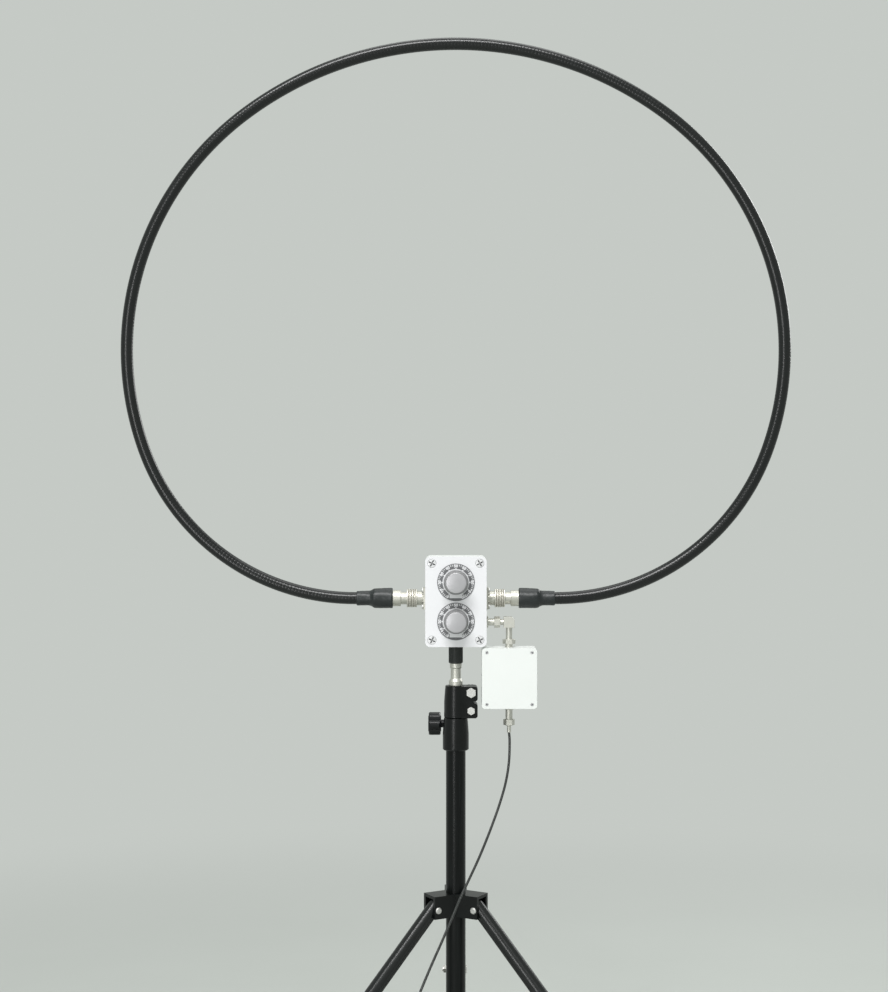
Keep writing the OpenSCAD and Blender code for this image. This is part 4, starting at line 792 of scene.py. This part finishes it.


# The feed lead: thin coaxial cable with a smooth black jacket, hanging from its plug past the hub to the
# floor, where the rest of it lies in a tied coil.
def curve_through(points, steps):
    """A smooth curve through points: cubic spans, with the slope at a point half the step across it."""
    points = np.asarray(points, float)
    ends = np.concatenate([points[:1], points, points[-1:]])
    t = (np.arange(steps) / steps)[None, :, None]
    a, b, c, d = (ends[i:len(points) - 1 + i, None, :] for i in range(4))
    spans = 0.5 * (2 * b + (c - a) * t + (2 * a - 5 * b + 4 * c - d) * t**2 + (3 * b - a - 3 * c + d) * t**3)
    return np.concatenate([spans.reshape(-1, 3), points[-1:]])


lead_d = 2.8 * MM
jacket = Finish("lead_jacket", Specular_IOR_Level=0.8)
scuff = jacket.place.noise(300.0, 3.0)
jacket.wear(Base_Color=scuff.tint(ink(0.004, 0.005, 0.005), ink(0.010, 0.012, 0.011)),
            Roughness=0.26 + 0.06 * scuff)

coil_x, coil_y, coil_r, coil_pitch, coil_turns, coil_low = -20.0, -167.5, 27.0, 3.8, 5.5, 2.7
coil_start = (coil_x - lead_d / MM, coil_y + coil_r, coil_low)
lead_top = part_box("feed_lead")[1].z / MM
lead_points = MM * np.array([
    (59.3, -8, lead_top), (60, -8.5, 590), (59, -12, 567), (55, -18, 545), (48, -26, 523),
    (41, -33, 505), (33, -40, 486), (24, -46, 466), (14, -52, 446), (4, -58, 426), (-4, -63, 408),
    (-16, -70, 382), (-27, -77, 359), (-39, -84, 332), (-52, -91, 300), (-64, -97, 266), (-75, -103, 228),
    (-84, -109, 188), (-90, -115, 146), (-93, -121, 104), (-92, -127, 64), (-86, -132, 32), (-74, -136, 13),
    (-58, -139, 5), (-40, -140, 3), coil_start])
lead_steps = 8
lead_line = curve_through(lead_points, lead_steps)

# The coil winds inwards on the floor, climbs one pitch in half a turn, and winds outwards on top of itself.
coil_inner = coil_r - coil_turns * coil_pitch
all_turns, turn_steps = 2 * coil_turns + 0.5, 48
turn = np.linspace(0, all_turns, int(all_turns * turn_steps) + 1)
half_turn = np.clip(2 * (turn - coil_turns), 0, 1)
coil_radius = np.where(turn < coil_turns, coil_r - coil_pitch * turn,
                       coil_inner + coil_pitch * np.maximum(0, turn - coil_turns - 0.5))
coil_line = MM * np.stack([coil_x + coil_radius * np.sin(2 * np.pi * turn),
                           coil_y + coil_radius * np.cos(2 * np.pi * turn),
                           coil_low + coil_pitch * half_turn**2 * (3 - 2 * half_turn)], -1)
coil_line = np.concatenate([[MM * np.array(coil_start)], coil_line, coil_line[-1:] - [[lead_d, 0, 0]]])

# The hanging run is in three stretches of the curve's spans, one for each joint between plug and column.
free_spans = 12
for name, begin, end, upper, lower in (("lead_at_plug", 0, 6, "head", "mast_top"),
                                       ("lead_at_mast", 6, 9, "mast_top", "mast_mid"),
                                       ("lead_at_column", 9, free_spans, "mast_mid", "column")):
    line = lead_line[begin * lead_steps:end * lead_steps + 1]
    piece = shell(name, swept(line, lead_d / 2, 14, (0, 1, 0)), jacket.material, 40)
    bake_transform(piece)

# The rest of the lead stays as it lies, and rides on the column like the tie.
low_line = lead_line[free_spans * lead_steps:-1]
rest_line = np.concatenate([low_line, coil_line])
rest_up = np.repeat([[0, 1, 0], [0, 0, 1]], [len(low_line), len(coil_line)], 0)
lead_rest = shell("lead_to_coil", swept(rest_line, lead_d / 2, 10, rest_up), jacket.material, 40)
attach(lead_rest, "column")
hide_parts("feed_lead", "lead_coil")
